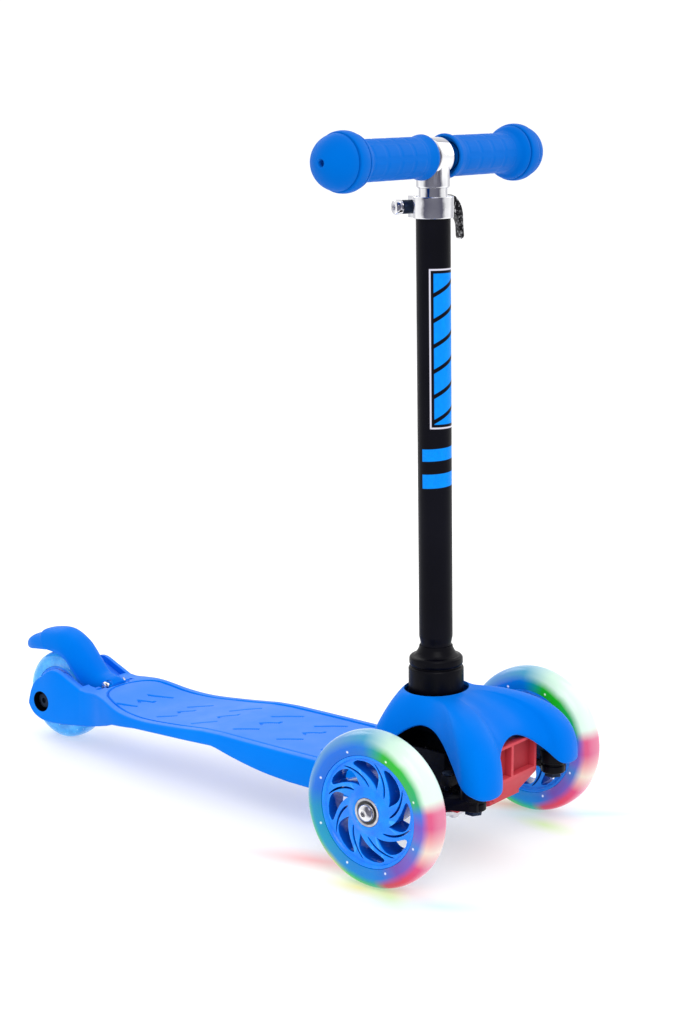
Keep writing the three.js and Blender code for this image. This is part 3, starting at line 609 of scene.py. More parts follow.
# Glow round a front wheel, as shares of a turn from the front, over the top: place, rim colour, bead colour.
GLOW = (
    (0.00, (0.72, 0.10, 0.24), (0.20, 0.10, 0.60)), (0.030, (0.75, 0.10, 0.24), (0.05, 0.20, 0.80)),
    (0.055, (0.80, 1.00, 0.86), (0.02, 0.45, 0.20)), (0.150, (0.80, 1.00, 0.86), (0.013, 0.55, 0.02)),
    (0.200, (0.60, 0.85, 0.70), (0.013, 0.50, 0.03)), (0.260, (0.06, 0.35, 0.55), (0.00, 0.20, 0.75)),
    (0.330, (0.10, 0.30, 0.62), (0.003, 0.17, 0.80)), (0.470, (0.07, 0.30, 0.65), (0.003, 0.17, 0.80)),
    (0.520, (0.02, 0.42, 0.30), (0.00, 0.30, 0.60)), (0.600, (0.03, 0.52, 0.16), (0.003, 0.35, 0.60)),
    (0.650, (0.50, 0.60, 0.08), (0.01, 0.30, 0.70)), (0.700, (0.03, 0.55, 0.12), (0.003, 0.25, 0.75)),
    (0.770, (0.007, 0.42, 0.30), (0.00, 0.25, 0.80)), (0.800, (0.60, 0.05, 0.12), (0.01, 0.20, 0.75)),
    (0.850, (0.78, 0.04, 0.10), (0.20, 0.08, 0.50)), (0.900, (0.76, 0.07, 0.22), (0.20, 0.12, 0.60)),
    (0.945, (0.90, 0.75, 0.62), (0.06, 0.25, 0.75)), (0.970, (0.85, 0.40, 0.40), (0.20, 0.15, 0.65)),
)


LAMPS = 8
LAMP_RADIUS = 46.5


def tyre_plastic(name):
    """Clear tyre lit from inside by coloured lamps: colours run round the rim and deepen towards the core."""
    g = Graph(name)
    _, y, z = g.xyz()
    turn = g.math("ARCTAN2", z, g.times(y, -1.0))
    share = g.math("FRACT", g.add(g.math("DIVIDE", turn, 2 * math.pi), 1.0))
    radius = g.length(y, z)
    turned = GLOW + ((0.999, *GLOW[0][1:]),)
    rim = g.ramp(share, [(place, rgba(*outer)) for place, outer, _ in turned])
    bead = g.ramp(share, [(place, rgba(*inner)) for place, _, inner in turned])
    depth = g.add(radius, g.vary(g.noise(45.0, 3.0), -0.8, 0.8))
    colour = g.mix(g.remap(depth, 50.0, 55.5, 0.0, 1.0), bead, rim)
    colour = g.mix(g.remap(radius, 57.5, 60.0, 0.0, 0.12), colour, rgba(0.85, 0.93, 1.0))
    # the lamps show as bright specks where the tyre meets the core
    cell = g.math("SUBTRACT", g.math("FRACT", g.times(share, LAMPS)), 0.5)
    across = g.times(cell, 2 * math.pi * LAMP_RADIUS / LAMPS)
    away = g.length(across, g.math("SUBTRACT", radius, LAMP_RADIUS))
    lamp = g.remap(away, 0.4, 1.3, 0.7, 0.0)
    colour = g.mix(lamp, colour, WHITE)
    glow = g.add(g.remap(depth, 45.0, 57.0, 0.35, 0.5), g.times(lamp, 0.5))
    body = g.mix(0.5, colour, BLACK)
    return g.finish(body, g.vary(g.noise(90.0, 3.0), 0.12, 0.24), g.bump(g.noise(200.0, 2.0), 0.12, 0.0001), {
        "Transmission Weight": 0.1, "Specular IOR Level": 0.25, "Coat Weight": 0.1, "Coat Roughness": 0.06,
        "Emission Color": colour, "Emission Strength": glow})


def rear_tyre_plastic(name):
    """Translucent light-blue rear tyre with cloudy depth and tiny bubbles: a painted sheen makes it paler at
    its edges, and it carries a faint painted glow.
    """
    g = Graph(name)
    edge = g.node("LayerWeight", {"Blend": 0.35}).outputs["Facing"]
    cloud = g.noise(80.0, 4.0, 0.6)
    deep = g.mix(g.remap(cloud, 0.35, 0.65, 0.0, 1.0), rgba(0.01, 0.33, 0.80), rgba(0.06, 0.52, 1.0))
    # Painted sheen: paler where the surface turns away from the viewer.
    colour = g.mix(g.remap(edge, 0.3, 0.9, 0.0, 0.7), deep, rgba(0.35, 0.75, 1.0))
    bubble = g.node("TexVoronoi", {"Scale": 260.0, "Vector": g.position()}).outputs["Distance"]
    colour = g.mix(g.remap(bubble, 0.06, 0.16, 0.6, 0.0), colour, rgba(0.7, 0.92, 1.0))
    # The faint emission is a painted glow.
    return g.finish(colour, g.vary(g.noise(120.0), 0.1, 0.2), g.bump(cloud, 0.2, 0.0002), {
        "Transmission Weight": 0.3, "Coat Weight": 0.3, "Coat Roughness": 0.06, "Emission Color": colour,
        "Emission Strength": 0.12})


blue_plastic = moulded("blue_plastic", BLUE, BLUE_SHADOW, 0.42, specular=0.05, tint=BLUE_SHINE)
deck_plastic = moulded("deck_plastic", rgba(0.0, 0.2, 0.82), BLUE_SHADOW, 0.42, specular=0.1, tint=BLUE_SHINE,
                       is_deck=True)
blue_rubber = moulded("blue_rubber", rgba(0.0, 0.13, 0.56), rgba(0.0, 0.08, 0.40), 0.5, 900.0, 0.00007, 0.06,
                      BLUE_SHINE)
red_plastic = moulded("red_plastic", rgba(0.55, 0.04, 0.06), rgba(0.3, 0.015, 0.025), 0.45, specular=0.25)
black_plastic = moulded("black_plastic", rgba(0.0015, 0.0015, 0.004), rgba(0.0005, 0.0005, 0.001), 0.34,
                        specular=0.07)
dark_steel = metal("dark_steel", rgba(0.02, 0.03, 0.055), 0.4)
steel = metal("steel", rgba(0.62, 0.61, 0.66), 0.28, 0.12)
spring_steel = metal("spring_steel", rgba(0.42, 0.42, 0.44), 0.3)
copper = metal("copper", rgba(0.72, 0.33, 0.16), 0.3)
chrome = plated("chrome")
bearing_steel = sealed_bearing("sealed_bearing")
worn_black_lacquer = worn_black("worn_black")
black_tube = tube_paint("tube_paint")
core_blue = core_plastic("core_plastic")
rear_tyre_blue = rear_tyre_plastic("rear_tyre_plastic")
MATERIALS = {
    "blue_plastic": blue_plastic, "blue_rubber": blue_rubber, "red_plastic": red_plastic,
    "black_plastic": black_plastic, "steel": steel, "spring_steel": spring_steel, "chrome": chrome,
    "copper": copper,
}


# ---- deck ----
TOP_LINE = [(56, DECK_TOP), (205, DECK_TOP)]
TOP_LINE += catmull([
    (225, 60), (262, 55.8), (298, 53), (326, 54.2), (350, 59.2), (364, 60.2), (378, 59.2)], 40)
TOP_LINE += catmull([
    (386, 59.8), (401, 66), (415.5, 71.5), (426, 69.2), (435, 62.6), (441.4, 58), (445.4, 52), (448, 44.6),
    (449.4, 38.4)], 60)
BOTTOM_LINE = [(PAN_FRONT, DECK_BOTTOM), (110, DECK_BOTTOM)]
BOTTOM_LINE += catmull([(128, 36.6), (158, 39), (186, 43.5), (208, 48.2)], 20)
BOTTOM_LINE += [(214, 49), (249, 47), (277, 45.6), (305, 44), (336, 40)]
BOTTOM_LINE += catmull([
    (345, 36.5), (372, 28.5), (392, 25.3), (412, 22.7), (430, 22.1), (441, 25), (446.6, 29.4),
    (449.4, 34.6)], 48)
HALF_WIDTH = [(PAN_FRONT, 36)]
HALF_WIDTH += catmull([
    (-1, 36.2), (20, 38), (47, 47.5), (58, 49.5), (84, 51.5), (110, 53), (180, 53), (240, 51.5), (300, 48.5),
    (330, 45.5), (352, 39.5), (368, 35), (385, FORK_OUTER)], 120)
HALF_WIDTH += [(460, FORK_OUTER)]


def along(line, y):
    ys, values = zip(*line)
    return float(np.interp(y, ys, values))


def capsule(px, py, a, b):
    """Distance of points to a segment."""
    a, b = np.array(a, float), np.array(b, float)
    d = b - a
    t = np.clip(((px - a[0]) * d[0] + (py - a[1]) * d[1]) / d.dot(d), 0, 1)
    return np.hypot(px - a[0] - t * d[0], py - a[1] - t * d[1])


PITCH = 45.0
ROWS = 6
FIRST_ROW = 109.0
TREAD_END = 345.0
GROOVE_INSET = 8.5
GROOVE_TURN = 346.0
GROOVE_END = 372.0
# Strokes of one repeat of the tread: points x, y from the repeat's start, and the half width of the groove.
STROKES = (
    ([(12.8, 2.5), (14.5, 0), (22, -8), (29, -18)], 0.9),
    ([(-9, -5), (-6.5, -1), (-1, -6.5), (3.2, -13), (6.5, -13.5)], 0.8),
    ([(-32, 5.5), (-26, -1.5), (-19.5, -10.5)], 0.9),
)


def tread(px, py):
    """Depth of the moulded pattern in the top, in millimetres."""
    depth = np.zeros_like(px)
    for k in range(ROWS):
        start = FIRST_ROW + k * PITCH
        narrow = 1.0 if k < 4 else 0.8
        for points, half in STROKES:
            line = [(x * narrow - 0.05 * (start - 199), y * narrow + start) for x, y in points]
            for a, b in zip(line, line[1:]):
                near = capsule(px, py, a, b)
                depth = np.maximum(depth, 1 - smoothstep(half - 0.5, half + 0.7, near))
    return depth * 1.3 * (py < TREAD_END)


def deck_ring(y, across, up):
    """One cross-section of the deck: top from -X to +X, then round the edge and back underneath."""
    half = along(HALF_WIDTH, y)
    top, bottom = along(TOP_LINE, max(y, 56)), along(BOTTOM_LINE, y)
    corner = min(3.2, (top - bottom) * 0.45)
    flat = half - corner
    low = corner * 0.7
    turns = [math.pi / 2 * k / up for k in range(up + 1)]
    side = [(flat + corner * math.sin(a), y, top - corner + corner * math.cos(a)) for a in turns[1:-1]]
    side += [(half - low + low * math.cos(a), y, bottom + low - low * math.sin(a)) for a in turns]
    ring = [(u * flat, y, top) for u in across] + side
    ring += [(half * (0.9 - 0.15 * k), y, bottom) for k in range(1, 12)]
    return ring + [(-px, py, pz) for px, py, pz in reversed(side)]


def deck_mesh():
    columns = 110
    across = np.linspace(-1, 1, columns)
    ys = list(np.arange(57, 440, 0.95)) + list(np.linspace(440, 449.2, 12))
    rings = np.array([deck_ring(y, across, 5) for y in ys])
    px, py = rings[:, :, 0], rings[:, :, 1]
    is_top = np.zeros(rings.shape[:2], bool)
    is_top[:, :columns] = True
    border = np.array([along(HALF_WIDTH, y) - GROOVE_INSET for y in ys])[:, None]
    side = np.abs(px) - border
    end = np.hypot(px, (py - GROOVE_TURN) * 1.3) - border
    behind = py > GROOVE_TURN
    groove = (1 - smoothstep(0.5, 1.5, np.abs(np.where(behind, end, side)))) * (py < GROOVE_END)
    panel = 1 - smoothstep(-0.6, 0.6, np.where(behind, end, side))
    depth = groove * 1.4 + 0.35 * panel + tread(px, py) * panel
    rings[:, :, 2] -= np.where(is_top, depth, 0)
    return mesh_from(loft([list(map(tuple, r)) for r in rings]), FLOOR)


def deck_front_pan():
    """The tray ahead of the standing board, under the cover."""
    top, chamfer, rings = 41.2, 1.5, []
    for y in (PAN_FRONT, PAN_FRONT + 1, 10, 20, 40, 56, 58):
        half = along(HALF_WIDTH, y)
        wall = [(half, y, top), (half, y, DECK_BOTTOM + chamfer), (half - chamfer, y, DECK_BOTTOM)]
        rings.append([(-half, y, top)] + wall + [(-px, py, pz) for px, py, pz in wall[:0:-1]])
    return loft(rings)


def deck_tools():
    """What is taken out of the deck: rib pockets underneath, the wheel slot, the hinge recess and bores."""
    pockets = []
    for i in range(7):
        start = 148 + i * 27
        reach = 44 if i < 5 else 38
        roof = 56.5 if i < 3 else (49 if i > 4 else 50)
        for s in (-1, 1):
            x = sorted((s * 1.5, s * reach))
            pockets.append(block(x, (start, start + 24), (20, roof)))
    wheel = [block((-FORK_INNER, FORK_INNER), (379.7, 460), (0, 90)),
             rod(REAR_RADIUS + 6, -FORK_INNER, FORK_INNER, "x", (REAR_AXLE_Y, REAR_RADIUS), 96),
             block((-14.2, 14.2), (368.5, 381), (53, 90))]
    axle = (REAR_AXLE_Y, REAR_RADIUS)
    bores = [rod(4.1, -60, 60, "x", axle), rod(9, -60, -26, "x", axle, 64), rod(9, 26, 60, "x", axle, 64)]
    ys = [388 + 2 * k for k in range(28)]
    hollow = [(y, along(TOP_LINE, y) - 6.0) for y in ys] + [(ys[-1], 95), (ys[0], 95)]
    hollows = [prism(hollow, *sorted((s * 18.0, s * 28.5))) for s in (-1, 1)]
    return [both(*pockets), *wheel, *bores, *hollows]


def build_deck():
    mesh = cut(deck_mesh(), FLOOR, *deck_tools())
    mesh = joined(mesh, deck_front_pan(), FLOOR)
    for s in (-1, 1):
        x = sorted((s * 4.2, s * 7.7))
        outline = [(370.4, 50), (377.6, 50), (377.6, 62), (375.8, 64.1), (372.2, 64.1), (370.4, 62)]
        mesh = joined(mesh, prism(rounded(outline, 1), *x), FLOOR)
    mesh = cut(mesh, FLOOR, rod(2.6, -22, 22, "x", BRAKE_PIN, 24))
    piece("deck_board", mesh, deck_plastic, "deck", "deck", 40)


# ---- front cover ----
COVER_HOLE = {"rx": 27.5, "ry": 24.0, "y": 22.0, "z": 124.5}
# Rim of one half from the front centre to the back: x, y, z and the roundness of the dome above.
COVER_RIM = (
    (0, -50, 100, 1.6), (17, -52, 95, 1.7), (32, -60, 83, 2.1), (41, -69, 72, 2.4), (54, -71.1, 69.5, 2.5),
    (66.5, -66, 70.5, 2.4), (68.5, -52, 76, 2.2), (59, -36, 88, 2), (47, -18, 99, 1.7), (38.5, -1, 105, 1.45),
    (37, 15, 104, 1.35), (40.5, 33, 92, 1.4), (46, 50, 71, 1.4), (41.5, 62, 62.6, 1.35), (25, 68, 61.8, 1.3),
    (0, 70.5, 61.8, 1.25))
COVER_WALL = 2.6


def cover_point(rim, step, inset):
    """Point of the dome between the column hole (step 0) and the rim (step 1)."""
    x, y, z, p = rim
    angle = math.atan2(x, COVER_HOLE["y"] - y)
    share = step * math.pi / 2
    reach = math.sin(share) ** (2 / p)
    height = 0.0 if step >= 1 else math.cos(share) ** (2 / p)
    hx = COVER_HOLE["rx"] * math.sin(angle)
    hy = COVER_HOLE["y"] - COVER_HOLE["ry"] * math.cos(angle)
    fx, fy = hx + (x - hx) * reach, hy + (y - hy) * reach
    away = math.hypot(fx, fy - COVER_HOLE["y"])
    pull = 1 - inset * reach / away
    return (fx * pull, COVER_HOLE["y"] + (fy - COVER_HOLE["y"]) * pull,
            z + (COVER_HOLE["z"] - z) * height - inset * height)


def build_cover():
    around, down = 240, 34
    lip_drop = 1.1
    whole = list(COVER_RIM) + [(-x, y, z, p) for x, y, z, p in reversed(COVER_RIM[1:-1])]
    rim = catmull(whole, around, True)
    rings = []
    for r in rim:
        outer = [cover_point(r, k / down, 0) for k in range(down + 1)]
        inner = [cover_point(r, k / down, COVER_WALL) for k in range(down, -1, -1)]
        a, b = Vector(outer[-1]), Vector(inner[0])
        lip = []
        for t in (0.2, 0.5, 0.8):
            lip.append(tuple(a.lerp(b, t) - Vector((0, 0, lip_drop * math.sin(math.pi * t)))))
        rings.append(outer + lip + inner)
    mesh = mesh_from(loft(rings, True), FLOOR)
    for s in (-1, 1):
        outline = rounded([(4.35, 76), (8, 76), (8, 97), (4.35, 97)], 0.6)
        mesh = joined(mesh, lathe(outline, "z", (s * KINGPIN[0], KINGPIN[1], 0), 48, True), FLOOR)
    piece("front_cover_shell", mesh, blue_plastic, "deck", "front_cover", 50)


# ---- wheels ----
SPOKES = 8
BEARING_HALF = 3.5


def swirl(radius, base):
    """Angle of the spoke pattern's centreline, which sweeps on as it goes outwards."""
    return base + math.radians(2.0) * (radius - 30)


def spoke_opening(base, inner, outer, width):
    """Outline of one opening in the wheel's web, in millimetres across and up."""
    left, right = [], []
    steps = 20
    for k in range(steps + 1):
        t = k / steps
        radius = inner + (outer - inner) * t
        half = width(t)
        angle = swirl(radius, base)
        mid = Vector((-math.sin(angle), math.cos(angle))) * radius
        side = Vector((math.cos(angle), math.sin(angle))) * half
        left.append(tuple(mid - side))
        right.append(tuple(mid + side))
    return left + right[::-1]


def tear(t):
    return 0.25 + 9.2 * (math.sin(math.pi * t ** 2.1)) ** 0.6 if 0 < t < 1 else 0.2


def slit(t):
    return 0.2 + 1.1 * (math.sin(math.pi * t)) ** 0.35 if 0 < t < 1 else 0.15


def core_profile(outer, rim):
    """Outline of a wheel core's section: hub with two bearing seats, web and rim."""
    bore = BEARING_RADIUS + 0.15
    inner = BEARING_OFFSET - 3.6
    wall = [(bore, 11.6), (13.0, 11.6), (18.5, CORE_WEB), (rim, CORE_WEB - 0.5), (rim + 1, 10.6), (outer, 11)]
    seats = [(bore, inner), (9.2, inner), (9.2, -inner), (bore, -inner)]
    return rounded([(r, -x) for r, x in wall] + wall[::-1] + seats, 0.9, 3)


def tyre_mesh(half_section, centre, steps, segments):
    """Tyre from one half of its section, which runs from the core to the middle of the tread."""
    section = half_section[:-1]
    outline = [(r, -x) for r, x in section] + half_section[-1:] + section[::-1]
    return turned(catmull(outline, steps), FLOOR, "x", centre, segments, True)


def build_front_wheel(name, side):
    centre = Vector((side * HALF_TRACK, 0, FRONT_RADIUS))
    origin = FLOOR @ centre
    body = f"front_wheel_{name}"
    mesh = turned(core_profile(43.0, 39.8), FLOOR, "x", centre, 128, True)
    cutters = []
    for k in range(SPOKES):
        base = (2 * math.pi * k / SPOKES) - math.radians(2)
        for outline in (spoke_opening(base, 20.0, 39.0, tear),
                        spoke_opening(base + math.pi / SPOKES, 19.0, 38.6, slit)):
            flat = [(centre.y + side * u, centre.z + v) for u, v in outline]
            cutters.append(prism(flat, centre.x - 15, centre.x + 15))
    mesh = cut(mesh, FLOOR, both(*cutters))
    soften(mesh, 0.45, 2, 50)
    piece(f"{body}_core", mesh, core_blue, body, f"front_core_{name}", 40, origin)
    half = WHEEL_HALF
    tyre = tyre_mesh([(43.3, half - 0.8), (48, half), (53.5, half - 0.6), (57.6, half - 3.4), (59.5, 5),
                      (FRONT_RADIUS, 0)], centre, 40, 144)
    piece(f"{body}_tyre", tyre, tyre_plastic(f"lit_tyre_{name}"), body, f"front_tyre_{name}",
          60, origin)
    for place, s in (("outer", side), ("inner", -side)):
        build_bearing(f"{body}_bearing_{place}", centre + Vector((s * BEARING_OFFSET, 0, 0)), body,
                      f"front_bearing_{place}_{name}")


def build_bearing(name, centre, body, node):
    """Ball bearing: outer ring, dark seal and inner ring."""
    face, seal = BEARING_HALF, BEARING_HALF - 0.6
    wall = [(4.1, face), (6.3, face), (6.5, seal), (9.0, seal), (9.2, face), (BEARING_RADIUS, face)]
    profile = rounded([(r, -x) for r, x in wall] + wall[::-1], 0.35, 3)
    mesh = turned(profile, FLOOR, "x", centre, 64, True)
    piece(name, mesh, bearing_steel, body, node, 40, FLOOR @ centre)


def build_axle_bolt(name, side):
    """Shaft with a domed button head and a hexagon socket."""
    tip, face = 82.0, HALF_TRACK + BEARING_OFFSET + BEARING_HALF + 0.3
    profile = [(0, tip), (3.4, tip), (4, tip + 0.6), (4, face), (6.1, face), (6.6, face + 0.6)]
    profile += [(6.6 * math.cos(a), face + 0.9 + 3.1 * math.sin(a)) for a in np.linspace(0.1, 1.25, 8)]
    profile += [(0, face + 3.95)]
    centre = (0, 0, FRONT_RADIUS)
    socket = [(0, face + 1.5), (2.5, face + 1.5), (2.5, face + 6), (0, face + 6)]
    mesh = cut(turned(profile, FLOOR, "x", centre, 64), FLOOR, lathe(socket, "x", centre, 6))
    soften(mesh, 0.25, 2, 50)
    if side < 0:
        mesh.transform(Matrix.Scale(-1, 4, (1, 0, 0)))
        mesh.flip_normals()
    piece(f"axle_bolt_{name}", mesh, chrome, f"knuckle_{name}", f"front_axle_{name}", 40)


def build_rear_wheel():
    centre = Vector((0, REAR_AXLE_Y, REAR_RADIUS))
    origin = FLOOR @ centre
    core = turned(core_profile(27.0, 23.5), FLOOR, "x", centre, 96, True)
    holes = []
    for turn in np.linspace(0, 2 * math.pi, 8, endpoint=False):
        y, z = centre.y + 19.3 * math.sin(turn), centre.z + 19.3 * math.cos(turn)
        rim = np.linspace(0, 2 * math.pi, 20, endpoint=False)
        holes.append(prism([(y + 2.6 * math.cos(a), z + 2.6 * math.sin(a)) for a in rim], -15, 15))
    core = cut(core, FLOOR, both(*holes))
    piece("rear_wheel_core", core, core_blue, "rear_wheel", "rear_core", 40, origin)
    half = WHEEL_HALF
    tyre = tyre_mesh([(27.3, half - 0.8), (31, half), (35, half - 0.9), (38.4, half - 3.8), (39.7, 4.5),
                      (REAR_RADIUS, 0)], centre, 36, 120)
    piece("rear_wheel_tyre", tyre, rear_tyre_blue, "rear_wheel", "rear_tyre", 60, origin)
    for name, s in SIDES:
        build_bearing(f"rear_wheel_bearing_{name}", centre + Vector((s * BEARING_OFFSET, 0, 0)), "rear_wheel",
                      f"rear_bearing_{name}")


# ---- brake fender ----
# Stations from the hinge to the tail: crown y, z, skirt edge y, z and half width.
FENDER = (
    (368.9, 62.2, 369.2, 57, 10.6), (373, 65.6, 374.4, 55, 11), (380, 66.8, 380, 54.2, 11.4),
    (387, 68.4, 386, 53.8, 12.4), (393, 73.4, 392.5, 53.6, 13.8), (402.5, 82.8, 400, 55.6, 15.6),
    (411, 90.2, 405, 62.6, 16.6), (418.6, 95.8, 411, 69.6, 17.2), (432, 100.8, 420, 78, 17.2),
    (445, 100, 431, 81.6, 17), (456.6, 97, 442, 82.4, 16.4), (459.4, 94, 446, 82, 16.2),
    (470.4, 89.8, 459, 80, 14), (477.4, 85.4, 469, 77.8, 10.6), (480.6, 81, 477, 76.8, 6.4))


def build_fender():
    """Domed shell with a hollow for the wheel and a bay for the hinge lugs."""
    power = 2 / 2.6
    angles = np.linspace(-math.pi / 2, math.pi / 2, 41)
    rings = []
    for y, z, skirt_y, skirt_z, half in catmull(FENDER, 84):
        ring = []
        for a in angles:
            out = math.copysign(abs(math.sin(a)) ** power, a)
            up = max(0.0, math.cos(a)) ** power
            ring.append((half * out, skirt_y + (y - skirt_y) * up, skirt_z + (z - skirt_z) * up))
        rings.append(ring)
    mesh = mesh_from(loft(rings), FLOOR)
    mesh = cut(mesh, FLOOR,
               rod(REAR_RADIUS + 4.2, -12.6, 12.6, "x", (REAR_AXLE_Y, REAR_RADIUS), 128),
               rod(4.2, -8.2, 8.2, "x", BRAKE_PIN, 48),
               block((-8.2, 8.2), (369.8, 378.2), (40, BRAKE_PIN[1])),
               rod(2.6, -30, 30, "x", BRAKE_PIN, 32))
    soften(mesh, 0.5, 3, 50)
    piece("brake_fender_shell", mesh, blue_plastic, "brake", "brake_fender", 38)


def build_brake_pin():
    """Hinge screw with a pan head and a cross recess."""
    profile = [(0, 11.4), (2.2, 11.4), (2.5, 11.0), (2.5, -11.3), (3.7, -11.3), (3.7, -12.3), (3.4, -13.0),
               (2.4, -13.4), (0, -13.5)]
    mesh = turned(profile, FLOOR, "x", (0, *BRAKE_PIN), 48)
    slots = [block((-15, -12.7), (BRAKE_PIN[0] - u, BRAKE_PIN[0] + u), (BRAKE_PIN[1] - v, BRAKE_PIN[1] + v))
             for u, v in ((1.9, 0.4), (0.4, 1.9))]
    mesh = cut(mesh, FLOOR, *slots)
    piece("brake_hinge_screw", mesh, chrome, "deck", "brake_pin", 40)


# ---- column, clamp and handlebar ----
def build_base_collar():
    profile = rounded([
        (12.35, 116), (21.5, 116), (21.5, 140.6), (20.4, 141.9), (19.4, 142), (19.4, 143), (20.4, 143.3),
        (20.9, 144.6), (20.8, 148.8), (19.4, 150.3), (17.2, 150.5), (15.4, 152.4), (13.4, 156), (12.9, 158.4),
        (12.35, 158.4)], 0.8, 4)
    mesh = turned(profile, COLUMN, ring=True)
    piece("column_collar", mesh, black_plastic, "column", "base_collar", 40)


def build_lower_tube():
    bore = STEM_RADIUS + 0.3
    profile = rounded([
        (bore, 109), (12, 109), (12, 160.5), (12.4, 162.6), (TUBE_RADIUS, 165.5), (TUBE_RADIUS, 500.5),
        (bore, 500.5)], 0.7, 4)
    ring_step = 4
    spaced = []
    for a, b in zip(profile, profile[1:] + profile[:1]):
        steps = max(1, int(abs(b[1] - a[1]) / ring_step))
        spaced += [(a[0] + (b[0] - a[0]) * k / steps, a[1] + (b[1] - a[1]) * k / steps) for k in range(steps)]
    mesh = turned(spaced, Matrix.Scale(MM, 4), ring=True)
    tube = added("column_tube", mesh)
    shade(mesh, 40)
    mesh.materials.append(black_tube)
    tube.matrix_world = COLUMN @ Matrix.Scale(1 / MM, 4)
    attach(tube, "column")
    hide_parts("lower_tube")


def build_clamp():
    half = 8.0
    ring = lathe(rounded([(13.3, -half), (15.1, -half), (15.4, -half + 0.7), (15.4, half - 0.7), (15.1, half),
                          (13.3, half)], 0.4, 3), "z", (0, 0, 0), 96, True)
    ears = prism(rounded([(-9, 11.0), (9, 11.0), (9, 24), (-9, 24)], 2.2, 5), -half, half, "xy")
    ears = cut(mesh_from(ears, CLAMP), CLAMP, rod(14.2, -20, 20, "z", (0, 0), 96))
    mesh = combine(mesh_from(ring, CLAMP), ears, "UNION")
    gap = block((-1.2, 1.2), (8, 40), (-20, 20))
    mesh = cut(mesh, CLAMP, gap, rod(3.1, -20, 20, "x", (SKEWER_OFFSET, 0), 32))
    soften(mesh, 0.35, 2, 50)
    piece("quick_release_ring", mesh, chrome, "column", "clamp_collar", 40)


def build_clamp_nut():
    profile = [(0, -23.5), (4.3, -23.5), (5.1, -23.2), (5.6, -22.4), (5.6, -18.2), (5.2, -17.4), (4.9, -17.1),
               (4.9, -16.6), (5.2, -16.2), (5.2, -9.5), (4.9, -9.3), (0, -9.3)]
    mesh = turned(profile, CLAMP, "x", (0, SKEWER_OFFSET, 0), 64)
    hexagon = lathe([(0, -30), (2.6, -30), (2.6, -21.2), (0, -21.2)], "x", (0, SKEWER_OFFSET, 0), 6)
    mesh = cut(mesh, CLAMP, rod(3.05, -22.0, 0, "x", (SKEWER_OFFSET, 0), 32), hexagon)
    soften(mesh, 0.2, 2, 50)
    nut = piece("clamp_barrel_nut", mesh, chrome, "column", "clamp_nut", 40)
    nut.data.materials.append(dark_steel)
    into_clamp = CLAMP.inverted()
    for face in nut.data.polygons:
        face.material_index = int((into_clamp @ face.center).x > -16.9)


def build_cam_lever():
    pin = CAM_PIN_X
    cam = [(pin + 8.2 * math.cos(a), 8.2 * math.sin(a)) for a in np.radians(np.linspace(70, 262, 30))]
    underside = catmull([(26.2, -6.2), (29.8, -11.5), (30.8, -18)], 14)
    handle = catmull([(34.4, -24.6), (34.8, -22), (33.6, -10), (31.2, 0), (26.8, 6.4)], 30)
    outline = cam + underside + [(31.0, -23.0), (31.4, -24.8), (32.6, -25.6)] + handle
    verts, faces = prism(outline, -5.4, 5.4, "xz")
    slim = [(x, SKEWER_OFFSET + y * (1 - 0.35 * float(smoothstep(4, 16, -z))), z) for x, y, z in verts]
    mesh = mesh_from((slim, faces), CLAMP)
    with editing(mesh) as bm:
        bevel(bm, list({e for f in bm.faces if len(f.verts) > 8 for e in f.edges}), 1.5, 5)
    bay = block((10, pin + 7), (SKEWER_OFFSET - 3.4, SKEWER_OFFSET + 3.4), (-12, 12))
    mesh = cut(mesh, CLAMP, bay, rod(2.6, 0, 40, "y", (pin, 0), 32))
    piece("quick_release_lever", mesh, worn_black_lacquer, "cam_lever", "cam_lever", 38)


def build_stem():
    profile = rounded([(9.3, 186), (STEM_RADIUS, 186), (STEM_RADIUS, 518.5), (9.3, 518.5)], 0.5, 3)
    mesh = turned(profile, COLUMN, ring=True)
    piece("steering_stem", mesh, chrome, "handlebar", "stem", 40)


def build_tee():
    neck = rounded([(0, -22.5), (12.2, -22.5), (12.7, -21.5), (12.7, 0), (0, 0)], 0.6, 3, False)
    barrel = rounded([(0, -9.8), (13, -9.8), (14.4, -7.6), (14.4, 7.6), (13, 9.8), (0, 9.8)], 1.4, 5, False)
    mesh = joined(turned(neck, BAR), lathe(barrel, "x"), BAR)
    mesh = cut(mesh, BAR, rod(11.1, -30, 30, "x", (0, 0), 96),
               rod(STEM_RADIUS + 0.1, -40, -11.6, "z", (0, 0), 96))
    soften(mesh, 0.8, 3, 40)
    piece("handlebar_tee", mesh, chrome, "handlebar", "tee_joint", 40)


PAD_LENGTH = 16.0
PAD_WIDTH = 14.0
PAD_ROUND = 98.0


def grip_relief(around, along_grip):
    """Raised pads of the grip: rows of long rectangles with soft corners."""
    u = np.mod(along_grip - 26, PAD_LENGTH)
    v = np.mod(around, PAD_WIDTH)
    pad_u = smoothstep(0.8, 1.8, u) * (1 - smoothstep(PAD_LENGTH - 2.8, PAD_LENGTH - 1.8, u))
    pad_v = smoothstep(0.8, 1.8, v) * (1 - smoothstep(PAD_WIDTH - 2.8, PAD_WIDTH - 1.8, v))
    span = smoothstep(25, 26, along_grip) * (1 - smoothstep(88, 89.5, along_grip))
    return 0.25 * pad_u * pad_v * span - 0.1 * span


